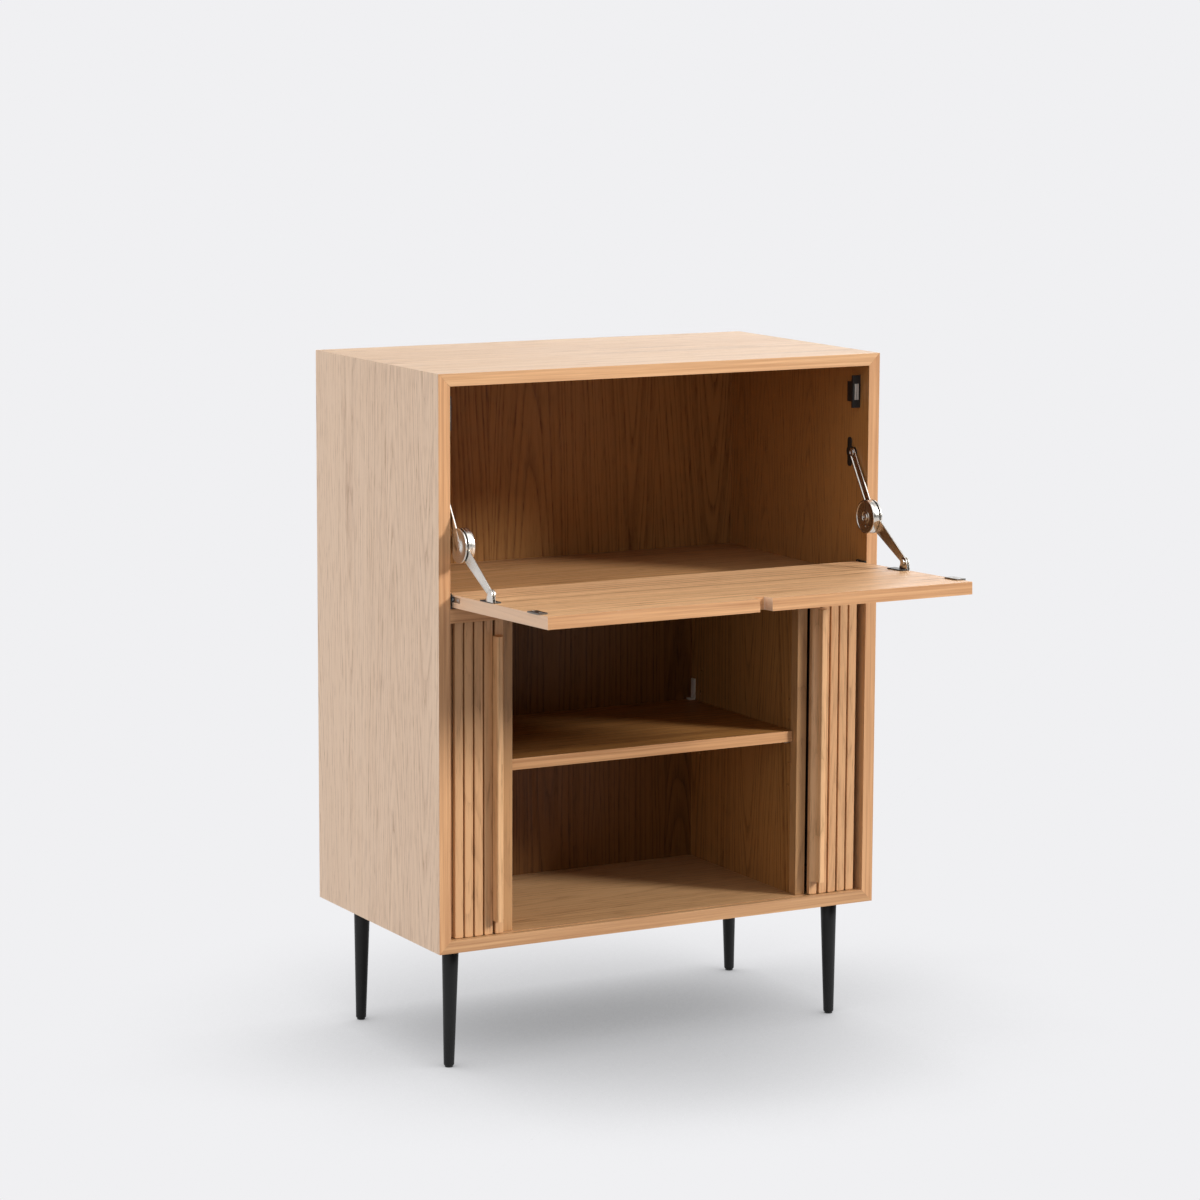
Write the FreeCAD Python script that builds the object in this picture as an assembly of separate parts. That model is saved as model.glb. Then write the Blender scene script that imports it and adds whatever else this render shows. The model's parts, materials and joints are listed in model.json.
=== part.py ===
"""Bar cabinet: an oak carcass on four legs with a drop-front bar and two tambour doors.

Millimetres. X runs to the right, Y to the back and Z up from the floor. Places in Y are
measured from the plane of the carcass's front edges while the pieces are made, and every
piece is shifted at the end so that the origin lies under the middle of the whole object.
"""
import FreeCAD, Part
import math
import os

from FreeCAD import Vector

# Carcass
cabinet_width = 800.0
carcass_depth = 450.0
leg_height = 200.0
board = 20.0
lower_bay_height = 504.0
deck_thickness = 22.0
bar_bay_height = 346.0
back_thickness = 8.0
back_inset = 4.0
back_groove_depth = 6.0

# Middle bay and its shelf
rear_room = 66.0
partition_thickness = 18.0
partition_setback = 19.0
lipping_depth = 20.0
shelf_thickness = 18.0
shelf_side_gap = 1.0
shelf_setback = 31.0
shelf_back_gap = 1.0
pin_radius = 2.5
pin_hole_depth = 10.0
pin_end_gap = 1.0
pin_overhang = 8.0
pin_pitch = 36.0
pin_hole_count = 5
pin_hole_used = 2
lowest_pin_height = 181.5
front_pin_inset = 6.0
rear_pin_inset = 30.0
clip_height = 36.0
clip_width = 10.0
clip_thickness = 3.0
clip_foot = 12.0

# Wooden dowels and back screws
dowel_radius = 4.0
dowel_length = 24.0
dowel_board_depth = 12.0
deck_dowel_shares = (0.2, 0.5, 0.8)
partition_dowel_shares = (0.25, 0.75)
screw_radius = 1.75
screw_head_radius = 3.5
screw_head_height = 1.5
back_screw_length = 24.0
back_screw_shares = (-0.8, -0.4, 0.0, 0.4, 0.8)
lower_back_screw_shares = (0.15, 0.5, 0.85)

# Legs
leg_top_radius = 13.5
leg_foot_radius = 8.5
leg_foot_rounding = 3.0
leg_side_inset = 48.0
leg_splay = 3.0
front_leg_setback = 59.0
rear_leg_setback = 63.0
leg_plate_size = 46.0
leg_plate_thickness = 3.0
leg_stud_radius = 4.0
leg_stud_length = 26.0
glide_radius = 6.5
glide_thickness = 2.0

# Drop-front flap, measured in its closed, upright place
flap_side_gap = 4.0
flap_top_gap = 3.0
flap_bottom_gap = 2.5
flap_thickness = 20.0
flap_edge_rounding = 9.0
hinge_depth = 13.0
hinge_rise = 13.0
flap_open_angle = 88.0
notch_width = 22.0
notch_depth = 24.0
notch_corner_radius = 4.0

# Flap hinges
hinge_plate_thickness = 3.0
hinge_plate_front = 1.0
hinge_plate_depth = 26.0
hinge_plate_height = 24.5
hinge_plate_floor_gap = 0.5
hinge_plate_screw_inset = 5.0
hinge_pin_radius = 3.0
hinge_pin_clearance = 0.05
hinge_pin_end_gap = 0.5
leaf_thickness = 2.0
leaf_width = 9.0
leaf_length = 45.0
leaf_overhang = 6.0
leaf_screw_shares = (0.45, 0.82)
small_screw_length = 12.0

# Folding stays: one on each side, between the side board and the flap
stay_pivot_depth = 42.0
stay_pivot_rise = 200.0
flap_pivot_reach = 138.8
flap_pivot_height = 13.2
upper_arm_length = 117.0
stay_slack = 6.083
stay_bracket_thickness = 2.0
stay_bracket_width = 11.0
stay_bracket_height = 48.0
stay_bracket_offset = 12.5
stay_bracket_lobe = 9.0
stay_bracket_screw_inset = 6.0
upper_arm_thickness = 2.5
upper_arm_width = 16.0
upper_arm_recess = 1.2
upper_arm_edge = 1.8
lower_arm_thickness = 2.0
lower_arm_hub_width = 22.0
lower_arm_flap_width = 12.0
arm_layer_gap = 0.8
drum_radius = 27.5
drum_thickness = 11.0
drum_rounding = 1.5
drum_rim_width = 3.0
drum_recess = 1.0
stay_pin_radius = 3.5
stay_pin_clearance = 0.05
stay_pin_head_radius = 6.0
stay_pin_head_height = 1.5
stay_pin_play = 0.2
hub_rivet_radius = 4.0
hub_rivet_head_radius = 6.0
flap_bracket_length = 43.0
flap_bracket_overhang = 9.0
flap_bracket_width = 16.0
flap_bracket_thickness = 2.0
flap_bracket_ear_gap = 0.3
flap_bracket_ear_radius = 7.5
flap_bracket_screw_inset = 6.0

# Magnetic catches and their strike plates
catch_depth_from_front = 25.7
catch_flange_thickness = 4.0
catch_flange_height = 53.0
catch_width = 15.0
catch_body_depth = 12.3
catch_body_height = 32.5
catch_top_gap = 18.0
pole_thickness = 2.0
pole_count = 2
pole_length = 26.0
pole_spacing = 4.0
pole_air_gap = 0.4
pole_inset = 7.0
pole_depth = 14.0
strike_thickness = 2.5
strike_width = 16.0
strike_length = 35.0
strike_screw_inset = 6.0

# Tambour doors
door_gap = 3.0
slat_front = 9.0
slat_thickness = 8.0
slat_face = 14.3
slat_pitch = 17.3
slat_end_gap = 1.0
front_slat_count = 4
front_corner_gap = 11.8
pocket_clearance = 5.0
track_width = 5.0
track_depth = 5.0
track_end_gap = 8.0
track_corner_radius = 12.0
tongue_thickness = 4.0
tongue_width = 8.0
tongue_length = 4.5
lead_rail_width = 14.5
canvas_thickness = 0.8
canvas_end_gap = 10.0
handle_base = 19.0
handle_front_width = 10.0
handle_depth = 17.0
handle_edge_radius = 2.0
handle_scoop = 2.0
handle_bottom_gap = 23.0
handle_top_gap = 26.0
door_meeting_gap = 2.0

# Shared allowance by which a cutting tool runs past the face that it opens
overrun = 1.0

# Places worked out from the sizes above
half_width = cabinet_width / 2
side_inner = half_width - board
carcass_bottom = leg_height
floor_inner = carcass_bottom + board
deck_underside = floor_inner + lower_bay_height
deck_top = deck_underside + deck_thickness
top_inner = deck_top + bar_bay_height
carcass_top = top_inner + board
back_face = carcass_depth - back_inset - back_thickness
bay_depth = back_face - rear_room - back_thickness
front_slats_width = (front_slat_count - 1) * slat_pitch + slat_face
pocket_width = door_gap + handle_base + front_slats_width + front_corner_gap
partition_outer = side_inner - pocket_width
bay_half = partition_outer - partition_thickness
hinge_z = deck_top + flap_bottom_gap + hinge_rise
flap_top = top_inner - flap_top_gap
flap_bottom = deck_top + flap_bottom_gap
flap_half = side_inner - flap_side_gap
open_turn = math.radians(flap_open_angle)
flap_front_reach = (flap_top - hinge_z) * math.sin(open_turn) + hinge_depth * math.cos(open_turn) - hinge_depth
origin_shift = (flap_front_reach - carcass_depth) / 2
door_edge = partition_outer + door_gap
door_travel = door_edge - door_meeting_gap / 2
slat_start = door_edge + handle_base
pocket_slat_count = int(door_travel / slat_pitch)
track_y = slat_front + slat_thickness / 2
pocket_x = side_inner - pocket_clearance - slat_thickness / 2
slat_bottom = floor_inner + slat_end_gap
slat_top = deck_underside - slat_end_gap
canvas_back = slat_front + slat_thickness + canvas_thickness


def block(x_from, x_to, y_from, y_to, z_from, z_to):
    """A box between three pairs of places."""
    return Part.makeBox(x_to - x_from, y_to - y_from, z_to - z_from, Vector(x_from, y_from, z_from))


def rod_x(radius, x_from, x_to, y, z):
    """A round bar along X."""
    return Part.makeCylinder(radius, x_to - x_from, Vector(x_from, y, z), Vector(1, 0, 0))


def rod_y(radius, x, y_from, y_to, z):
    """A round bar along Y."""
    return Part.makeCylinder(radius, y_to - y_from, Vector(x, y_from, z), Vector(0, 1, 0))


def rod_z(radius, x, y, z_from, z_to):
    """A round bar along Z."""
    return Part.makeCylinder(radius, z_to - z_from, Vector(x, y, z_from), Vector(0, 0, 1))


def prism(points, direction):
    """A closed outline, pushed along a direction."""
    outline = Part.makePolygon(points + points[:1])
    return Part.Face(outline).extrude(direction)


def joined(shapes):
    """One solid made of touching or overlapping shapes."""
    return shapes[0].multiFuse(shapes[1:]).removeSplitter()


def mirrored(shape):
    """The same piece on the other side of the cabinet."""
    return shape.mirror(Vector(0, 0, 0), Vector(1, 0, 0))


def both_sides(shapes):
    """A list of pieces, followed by their mirror images."""
    return shapes + [mirrored(shape) for shape in shapes]


def screw(place, direction, length):
    """A flat-headed screw: the head's outer face is at the place, the shank runs along the direction."""
    head = Part.makeCylinder(screw_head_radius, screw_head_height, place, direction)
    shank = Part.makeCylinder(screw_radius, length, place, direction)
    return joined([head, shank])


def cut_all(shape, tools):
    """A shape with every tool taken out of it."""
    return shape.cut(Part.makeCompound(tools))


def rounded_bar(start, end, start_width, end_width, x_from, x_to):
    """A flat bar with round ends between two pivots, given as places in the plane of Y and Z."""
    along = (end - start).normalize()
    across = Vector(0, -along.z, along.y)
    corners = [
        start + across * (start_width / 2),
        end + across * (end_width / 2),
        end - across * (end_width / 2),
        start - across * (start_width / 2),
    ]
    lift = Vector(x_from, 0, 0)
    bar = prism([corner + lift for corner in corners], Vector(x_to - x_from, 0, 0))
    start_end = rod_x(start_width / 2, x_from, x_to, start.y, start.z)
    other_end = rod_x(end_width / 2, x_from, x_to, end.y, end.z)
    return joined([bar, start_end, other_end])


def carcass_boards():
    """Two sides, a top and a bottom, mitred into each other at the four corners."""
    depth = Vector(0, carcass_depth, 0)
    outer = [(-half_width, carcass_bottom), (half_width, carcass_bottom),
             (half_width, carcass_top), (-half_width, carcass_top)]
    inner = [(-side_inner, floor_inner), (side_inner, floor_inner),
             (side_inner, top_inner), (-side_inner, top_inner)]
    boards = []
    for index in range(len(outer)):
        following = (index + 1) % len(outer)
        corners = [outer[index], outer[following], inner[following], inner[index]]
        boards.append(prism([Vector(x, 0, z) for x, z in corners], depth))
    return boards


def track_cuts(z_from, z_to):
    """The groove that both doors run in: along the front and back into the two side pockets."""
    half = track_width / 2
    pocket_end = first_pocket_slat + slat_pitch * pocket_slat_count + track_end_gap
    front = block(-pocket_x - half, pocket_x + half, track_y - half, track_y + half, z_from, z_to)
    pocket = block(pocket_x - half, pocket_x + half, track_y - half, pocket_end, z_from, z_to)
    return [front, pocket, mirrored(pocket)]


def pin_holes(pins_only):
    """Shelf-pin holes in the right partition, or the pins that sit in the used holes."""
    front_row = partition_setback + lipping_depth + front_pin_inset
    rear_row = bay_depth - rear_pin_inset
    shapes = []
    for y in (front_row, rear_row):
        for index in range(pin_hole_count):
            z = floor_inner + lowest_pin_height + index * pin_pitch
            if not pins_only:
                shapes.append(rod_x(pin_radius, bay_half, bay_half + pin_hole_depth, y, z))
            elif index == pin_hole_used:
                inner_end = bay_half - pin_overhang
                outer_end = bay_half + pin_hole_depth - pin_end_gap
                shapes.append(rod_x(pin_radius, inner_end, outer_end, y, z))
    return shapes


def deck_dowels():
    """Dowels between the deck's ends and the two sides."""
    z = (deck_underside + deck_top) / 2
    shapes = []
    for share in deck_dowel_shares:
        start = side_inner - dowel_board_depth
        shapes.append(rod_x(dowel_radius, start, start + dowel_length, share * back_face, z))
    return both_sides(shapes)


def partition_dowels():
    """Dowels between the partitions and the boards above and below them."""
    x = (bay_half + partition_outer) / 2
    shapes = []
    for share in partition_dowel_shares:
        y = share * bay_depth
        low = floor_inner - dowel_length / 2
        high = deck_underside - dowel_length / 2
        shapes.append(rod_z(dowel_radius, x, y, low, low + dowel_length))
        shapes.append(rod_z(dowel_radius, x, y, high, high + dowel_length))
    return both_sides(shapes)


def back_panel_screws():
    """Screws through the back panel into the deck's rear edge."""
    z = (deck_underside + deck_top) / 2
    place_y = back_face + back_thickness
    return [screw(Vector(share * side_inner, place_y, z), Vector(0, -1, 0), back_screw_length)
            for share in back_screw_shares]


def lower_back_screws():
    """Screws through the lower back panel into the partitions' rear edges."""
    x = (bay_half + partition_outer) / 2
    place_y = bay_depth + back_thickness
    screws = []
    for share in lower_back_screw_shares:
        z = floor_inner + share * lower_bay_height
        screws.append(screw(Vector(x, place_y, z), Vector(0, -1, 0), back_screw_length))
    return both_sides(screws)


def shelf_clip():
    """Plastic angle that stops the shelf from tipping, at a rear corner on top of the shelf."""
    rear = bay_depth - clip_thickness
    wall_leg = block(bay_half - clip_thickness, bay_half, rear - clip_width, rear,
                     shelf_top, shelf_top + clip_height)
    foot = block(bay_half - clip_foot, bay_half, rear - clip_width, rear,
                 shelf_top, shelf_top + clip_thickness)
    return joined([wall_leg, foot])


def leg(side, setback):
    """A slim round leg that tapers and leans outwards a little, with a bore for its stud."""
    top_z = carcass_bottom - leg_plate_thickness
    top_x = side * (half_width - leg_side_inset)
    foot_x = top_x + side * leg_splay
    top = Part.Wire(Part.makeCircle(leg_top_radius, Vector(top_x, setback, top_z)))
    foot = Part.Wire(Part.makeCircle(leg_foot_radius, Vector(foot_x, setback, glide_thickness)))
    body = Part.makeLoft([foot, top], True, True)
    rim = [edge for edge in body.Edges
           if abs(edge.BoundBox.ZMax - glide_thickness) < overrun and edge.BoundBox.ZLength < overrun]
    body = body.makeFillet(leg_foot_rounding, rim)
    return body.cut(leg_stud(side, setback))


def leg_stud(side, setback):
    """The stud that screws into the leg's top."""
    x = side * (half_width - leg_side_inset)
    return rod_z(leg_stud_radius, x, setback, carcass_bottom - leg_stud_length, carcass_bottom)


def leg_plate(side, setback):
    """A square steel plate under the bottom board, with its stud."""
    x = side * (half_width - leg_side_inset)
    half = leg_plate_size / 2
    plate = block(x - half, x + half, setback - half, setback + half,
                  carcass_bottom - leg_plate_thickness, carcass_bottom)
    return joined([plate, leg_stud(side, setback)])


def glide(side, setback):
    """A plastic disc under the foot."""
    x = side * (half_width - leg_side_inset + leg_splay)
    return rod_z(glide_radius, x, setback, 0, glide_thickness)


def flap_board():
    """The flap, upright, with its rounded lower edge and the finger notch in its upper edge."""
    body = block(-flap_half, flap_half, 0, flap_thickness, flap_bottom, flap_top)
    lower_edges = [edge for edge in body.Edges
                   if edge.BoundBox.ZMax < flap_bottom + overrun and edge.BoundBox.YMax < overrun]
    body = body.makeFillet(flap_edge_rounding, lower_edges)
    notch = block(-notch_width / 2, notch_width / 2, -overrun, flap_thickness + overrun,
                  flap_top - notch_depth, flap_top + overrun)
    corners = [edge for edge in notch.Edges
               if edge.BoundBox.ZMax < flap_top - notch_depth + overrun and edge.BoundBox.YLength > flap_thickness]
    return body.cut(notch.makeFillet(notch_corner_radius, corners))


def opened(shape):
    """A flap piece, turned from its upright place to the open one."""
    turned = shape.copy()
    turned.rotate(Vector(0, hinge_depth, hinge_z), Vector(1, 0, 0), flap_open_angle)
    return turned


def hinge_leaf():
    """The steel leaf in the flap's right end, with the pin that it turns on."""
    half = leaf_width / 2
    low = hinge_z - leaf_overhang
    leaf = block(flap_half - leaf_thickness, flap_half, hinge_depth - half, hinge_depth + half,
                 low, low + leaf_length)
    pin_end = side_inner - hinge_pin_end_gap
    pin = rod_x(hinge_pin_radius, flap_half - leaf_thickness, pin_end, hinge_depth, hinge_z)
    return joined([leaf, pin])


def hinge_leaf_screws():
    """Screws that hold the leaf in the flap's end."""
    low = hinge_z - leaf_overhang
    return [screw(Vector(flap_half, hinge_depth, low + share * leaf_length), Vector(-1, 0, 0), small_screw_length)
            for share in leaf_screw_shares]


def hinge_plate():
    """The plate on the side board that carries the pin."""
    low = deck_top + hinge_plate_floor_gap
    plate = block(side_inner - hinge_plate_thickness, side_inner, hinge_plate_front,
                  hinge_plate_front + hinge_plate_depth, low, low + hinge_plate_height)
    bore = rod_x(hinge_pin_radius + hinge_pin_clearance, side_inner - hinge_plate_thickness - overrun,
                 side_inner + overrun, hinge_depth, hinge_z)
    return plate.cut(bore)


def hinge_plate_screws():
    """Two screws through the plate into the side board."""
    high = deck_top + hinge_plate_floor_gap + hinge_plate_height - hinge_plate_screw_inset
    low = deck_top + hinge_plate_floor_gap + hinge_plate_screw_inset
    y = hinge_plate_front + hinge_plate_depth - hinge_plate_screw_inset
    x = side_inner - hinge_plate_thickness
    return [screw(Vector(x, y, z), Vector(1, 0, 0), small_screw_length) for z in (low, high)]


def hub_between(wall_pivot, flap_pivot):
    """The place where the two arms of a stay meet, for one pair of outer pivots."""
    span = flap_pivot - wall_pivot
    distance = span.Length
    along = (upper_arm_length ** 2 - lower_arm_length ** 2 + distance ** 2) / (2 * distance)
    across = math.sqrt(upper_arm_length ** 2 - along ** 2)
    unit = span / distance
    return wall_pivot + unit * along + Vector(0, -unit.z, unit.y) * across


def stay_bracket():
    """The bracket on the side board, with the pin that the upper arm turns on."""
    inner = side_inner - stay_bracket_thickness
    centre = wall_pivot.y + stay_bracket_offset
    half = stay_bracket_width / 2
    plate = block(inner, side_inner, centre - half, centre + half,
                  wall_pivot.z - stay_bracket_height / 2, wall_pivot.z + stay_bracket_height / 2)
    lobe = rod_x(stay_bracket_lobe, inner, side_inner, wall_pivot.y, wall_pivot.z)
    neck = block(inner, side_inner, wall_pivot.y, centre, wall_pivot.z - stay_bracket_lobe,
                 wall_pivot.z + stay_bracket_lobe)
    head_outer = upper_layer - stay_pin_play
    pin = rod_x(stay_pin_radius, head_outer, side_inner, wall_pivot.y, wall_pivot.z)
    head = rod_x(stay_pin_head_radius, head_outer - stay_pin_head_height, head_outer, wall_pivot.y, wall_pivot.z)
    return joined([plate, lobe, neck, pin, head])


def stay_bracket_screws():
    """Two screws through the bracket into the side board."""
    reach = stay_bracket_height / 2 - stay_bracket_screw_inset
    y = wall_pivot.y + stay_bracket_offset
    x = side_inner - stay_bracket_thickness
    return [screw(Vector(x, y, wall_pivot.z + rise), Vector(1, 0, 0), small_screw_length)
            for rise in (-reach, reach)]


def upper_arm():
    """The arm from the side board to the hub: a channel that ends in the hub's outer disc."""
    outer = upper_layer + upper_arm_thickness
    bar = rounded_bar(wall_pivot, hub, upper_arm_width, upper_arm_width, upper_layer, outer)
    disc = rod_x(drum_radius, upper_layer, outer, hub.y, hub.z)
    along = (hub - wall_pivot).normalize()
    start = wall_pivot + along * upper_arm_width
    end = hub - along * (drum_radius + upper_arm_width / 2)
    channel_width = upper_arm_width - upper_arm_edge * 2
    channel = rounded_bar(start, end, channel_width, channel_width, upper_layer - overrun,
                          upper_layer + upper_arm_recess)
    bore = rod_x(stay_pin_radius + stay_pin_clearance, upper_layer - overrun, outer + overrun,
                 wall_pivot.y, wall_pivot.z)
    return cut_all(joined([bar, disc]), [channel, bore])


def drum():
    """The round friction brake at the hub, on the lower arm's inner side."""
    inner = lower_layer - drum_thickness
    body = rod_x(drum_radius, inner, lower_layer, hub.y, hub.z)
    rims = [edge for edge in body.Edges if edge.BoundBox.XMax < inner + overrun]
    body = body.makeFillet(drum_rounding, rims)
    recess = rod_x(drum_radius - drum_rim_width, inner - overrun, inner + drum_recess, hub.y, hub.z)
    bore = rod_x(hub_rivet_radius, inner - overrun, lower_layer + overrun, hub.y, hub.z)
    return body.cut(recess).cut(bore)


def hub_rivet():
    """The rivet through the drum and the lower arm, with its head on the drum's face."""
    face = lower_layer - drum_thickness + drum_recess
    shank = rod_x(hub_rivet_radius, face, lower_layer + lower_arm_thickness, hub.y, hub.z)
    head = rod_x(hub_rivet_head_radius, face - stay_pin_head_height, face, hub.y, hub.z)
    return joined([shank, head])


def lower_arm():
    """The tapered arm from the flap's bracket to the hub."""
    outer = lower_layer + lower_arm_thickness
    bar = rounded_bar(flap_pivot, hub, lower_arm_flap_width, lower_arm_hub_width, lower_layer, outer)
    bore = rod_x(stay_pin_radius + stay_pin_clearance, lower_layer - overrun, outer + overrun,
                 flap_pivot.y, flap_pivot.z)
    rivet_bore = rod_x(hub_rivet_radius, lower_layer - overrun, outer + overrun, hub.y, hub.z)
    return cut_all(bar, [bore, rivet_bore])


def flap_bracket():
    """The bracket on the flap's inner face, upright, with the ear and pin for the lower arm."""
    far = closed_pivot.z + flap_bracket_overhang
    base = block(flap_half - flap_bracket_width, flap_half, flap_thickness,
                 flap_thickness + flap_bracket_thickness, far - flap_bracket_length, far)
    ear_outer = lower_layer - flap_bracket_ear_gap
    ear_inner = ear_outer - flap_bracket_thickness
    radius = flap_bracket_ear_radius
    tip = rod_x(radius, ear_inner, ear_outer, closed_pivot.y, closed_pivot.z)
    web = block(ear_inner, ear_outer, flap_thickness, closed_pivot.y, closed_pivot.z - radius,
                closed_pivot.z + radius)
    pin_end = lower_layer + lower_arm_thickness + stay_pin_play
    pin = rod_x(stay_pin_radius, ear_inner, pin_end, closed_pivot.y, closed_pivot.z)
    head = rod_x(stay_pin_head_radius, ear_inner - stay_pin_head_height, ear_inner, closed_pivot.y, closed_pivot.z)
    return joined([base, tip, web, pin, head])


def flap_bracket_screws():
    """Two screws through the bracket's base into the flap."""
    far = closed_pivot.z + flap_bracket_overhang
    x = flap_half - flap_bracket_width + flap_bracket_screw_inset
    y = flap_thickness + flap_bracket_thickness
    places = (far - flap_bracket_screw_inset, far - flap_bracket_length + flap_bracket_screw_inset)
    return [screw(Vector(x, y, z), Vector(0, -1, 0), small_screw_length) for z in places]


def catch_middle():
    """The height of the catches' middle."""
    return top_inner - catch_top_gap - catch_flange_height / 2


def catch_poles():
    """The two steel pole strips of the right catch."""
    front = flap_thickness + strike_thickness + pole_air_gap
    half = pole_length / 2
    shapes = []
    for index in range(pole_count):
        x = side_inner - catch_width + pole_inset / 2 + index * pole_spacing
        shapes.append(block(x, x + pole_thickness, front, front + pole_depth,
                            catch_middle() - half, catch_middle() + half))
    return shapes


def catch_body():
    """The catch's housing: a flange at the front and a block behind it, on the side board."""
    flange_half = catch_flange_height / 2
    block_half = catch_body_height / 2
    inner = side_inner - catch_width
    flange_back = catch_depth_from_front + catch_flange_thickness
    flange = block(inner, side_inner, catch_depth_from_front, flange_back,
                   catch_middle() - flange_half, catch_middle() + flange_half)
    housing = block(inner, side_inner, flange_back, flange_back + catch_body_depth,
                    catch_middle() - block_half, catch_middle() + block_half)
    return cut_all(joined([flange, housing]), catch_poles())


def strike_plate():
    """The steel plate on the flap's inner face that the catch pulls on, upright."""
    centre = side_inner - catch_width + (pole_inset + pole_spacing + pole_thickness) / 2
    half = strike_width / 2
    return block(centre - half, centre + half, flap_thickness, flap_thickness + strike_thickness,
                 catch_middle() - strike_length / 2, catch_middle() + strike_length / 2)


def strike_screws():
    """Two screws in the strike plate."""
    centre = side_inner - catch_width + (pole_inset + pole_spacing + pole_thickness) / 2
    reach = strike_length / 2 - strike_screw_inset
    y = flap_thickness + strike_thickness
    return [screw(Vector(centre, y, catch_middle() + rise), Vector(0, -1, 0), small_screw_length)
            for rise in (-reach, reach)]


def front_strip(x_from, x_to):
    """A slat or rail of the right door in the front run, with its two tongues."""
    middle = (x_from + x_to) / 2
    body = block(x_from, x_to, slat_front, slat_front + slat_thickness, slat_bottom, slat_top)
    tongue = block(middle - tongue_width / 2, middle + tongue_width / 2,
                   track_y - tongue_thickness / 2, track_y + tongue_thickness / 2,
                   slat_bottom - tongue_length, slat_top + tongue_length)
    return joined([body, tongue])


def front_slats():
    """The slats that lie flat in the front of the right door."""
    return [front_strip(slat_start + index * slat_pitch, slat_start + index * slat_pitch + slat_face)
            for index in range(front_slat_count)]


def pocket_slats():
    """The slats that lie in the right side pocket, behind the corner."""
    shapes = []
    for index in range(pocket_slat_count):
        y = first_pocket_slat + index * slat_pitch
        body = block(pocket_x - slat_thickness / 2, pocket_x + slat_thickness / 2,
                     y - slat_face / 2, y + slat_face / 2, slat_bottom, slat_top)
        tongue = block(pocket_x - tongue_thickness / 2, pocket_x + tongue_thickness / 2,
                       y - tongue_width / 2, y + tongue_width / 2,
                       floor_inner - track_depth, slat_top + tongue_length)
        shapes.append(joined([body, tongue]))
    return shapes


def front_canvas():
    """The cloth that joins the front slats, glued on behind them."""
    outer = slat_start + front_slats_width
    return block(door_edge, outer, slat_front + slat_thickness, canvas_back,
                 slat_bottom + canvas_end_gap, slat_top - canvas_end_gap)


def pocket_canvas():
    """The cloth on the inner side of the slats in the pocket."""
    inner = pocket_x - slat_thickness / 2
    start = first_pocket_slat - slat_face / 2
    end = first_pocket_slat + (pocket_slat_count - 1) * slat_pitch + slat_face / 2
    return block(inner - canvas_thickness, inner, start, end,
                 slat_bottom + canvas_end_gap, slat_top - canvas_end_gap)


def handle():
    """The right door's handle: a batten with a scooped side that the fingers pull on."""
    outer = door_edge + handle_base
    front = slat_front - handle_depth
    radius = handle_edge_radius
    bottom = floor_inner + handle_bottom_gap
    height = lower_bay_height - handle_bottom_gap - handle_top_gap
    diagonal = radius * math.sqrt(0.5)

    def at(x, y):
        return Vector(x, y, bottom)

    scoop_start = at(outer - handle_front_width, front + radius)
    scoop_end = at(door_edge, slat_front)
    chord = scoop_end - scoop_start
    into_wood = Vector(chord.y, -chord.x, 0).normalize()
    scoop_middle = (scoop_start + scoop_end) / 2 + into_wood * handle_scoop
    inner_corner = at(outer - handle_front_width + radius, front + radius)
    outer_corner = at(outer - radius, front + radius)
    inner_arc_middle = inner_corner + Vector(-diagonal, -diagonal, 0)
    outer_arc_middle = outer_corner + Vector(diagonal, -diagonal, 0)
    edges = [
        Part.makeLine(at(outer, slat_front), at(outer, front + radius)),
        Part.Arc(at(outer, front + radius), outer_arc_middle, at(outer - radius, front)).toShape(),
        Part.makeLine(at(outer - radius, front), at(outer - handle_front_width + radius, front)),
        Part.Arc(at(outer - handle_front_width + radius, front), inner_arc_middle, scoop_start).toShape(),
        Part.Arc(scoop_start, scoop_middle, scoop_end).toShape(),
        Part.makeLine(scoop_end, at(outer, slat_front)),
    ]
    return Part.Face(Part.Wire(edges)).extrude(Vector(0, 0, height))


# Path of the slats round the corner
last_front_middle = slat_start + front_slats_width - slat_face / 2
corner_path_end = pocket_x - track_corner_radius + track_corner_radius * math.pi / 2
first_pocket_slat = track_y + track_corner_radius + last_front_middle + slat_pitch - corner_path_end

# Places of the stay's pivots, in the plane of Y and Z
wall_pivot = Vector(0, stay_pivot_depth, deck_top + stay_pivot_rise)
closed_pivot = Vector(0, flap_thickness + flap_pivot_height, hinge_z + flap_pivot_reach)
flap_pivot = opened(Part.Vertex(closed_pivot)).Point
lower_arm_length = (flap_pivot - wall_pivot).Length + stay_slack - upper_arm_length
hub = hub_between(wall_pivot, flap_pivot)
closed_hub = hub_between(wall_pivot, closed_pivot)
upper_layer = side_inner - stay_bracket_thickness - arm_layer_gap / 2 - upper_arm_thickness
lower_layer = upper_layer - arm_layer_gap - lower_arm_thickness

# Shelf place, from the pins that carry it
shelf_bottom = floor_inner + lowest_pin_height + pin_hole_used * pin_pitch + pin_radius
shelf_top = shelf_bottom + shelf_thickness

nodes = {}

# Carcass boards with their groove for the back panel and the doors' track
bottom_board, right_board, top_board, left_board = carcass_boards()
back_half = side_inner + back_groove_depth
back = block(-back_half, back_half, back_face, back_face + back_thickness,
             floor_inner - back_groove_depth, top_inner + back_groove_depth)
dowels = deck_dowels() + partition_dowels()
floor_track = track_cuts(floor_inner - track_depth, floor_inner + overrun)
deck_track = track_cuts(deck_underside - overrun, deck_underside + track_depth)
plate_screws = both_sides(hinge_plate_screws())
bracket_screws = both_sides(stay_bracket_screws())
back_screws = back_panel_screws() + lower_back_screws()
wall_fixings = [back] + dowels + plate_screws + bracket_screws

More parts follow.
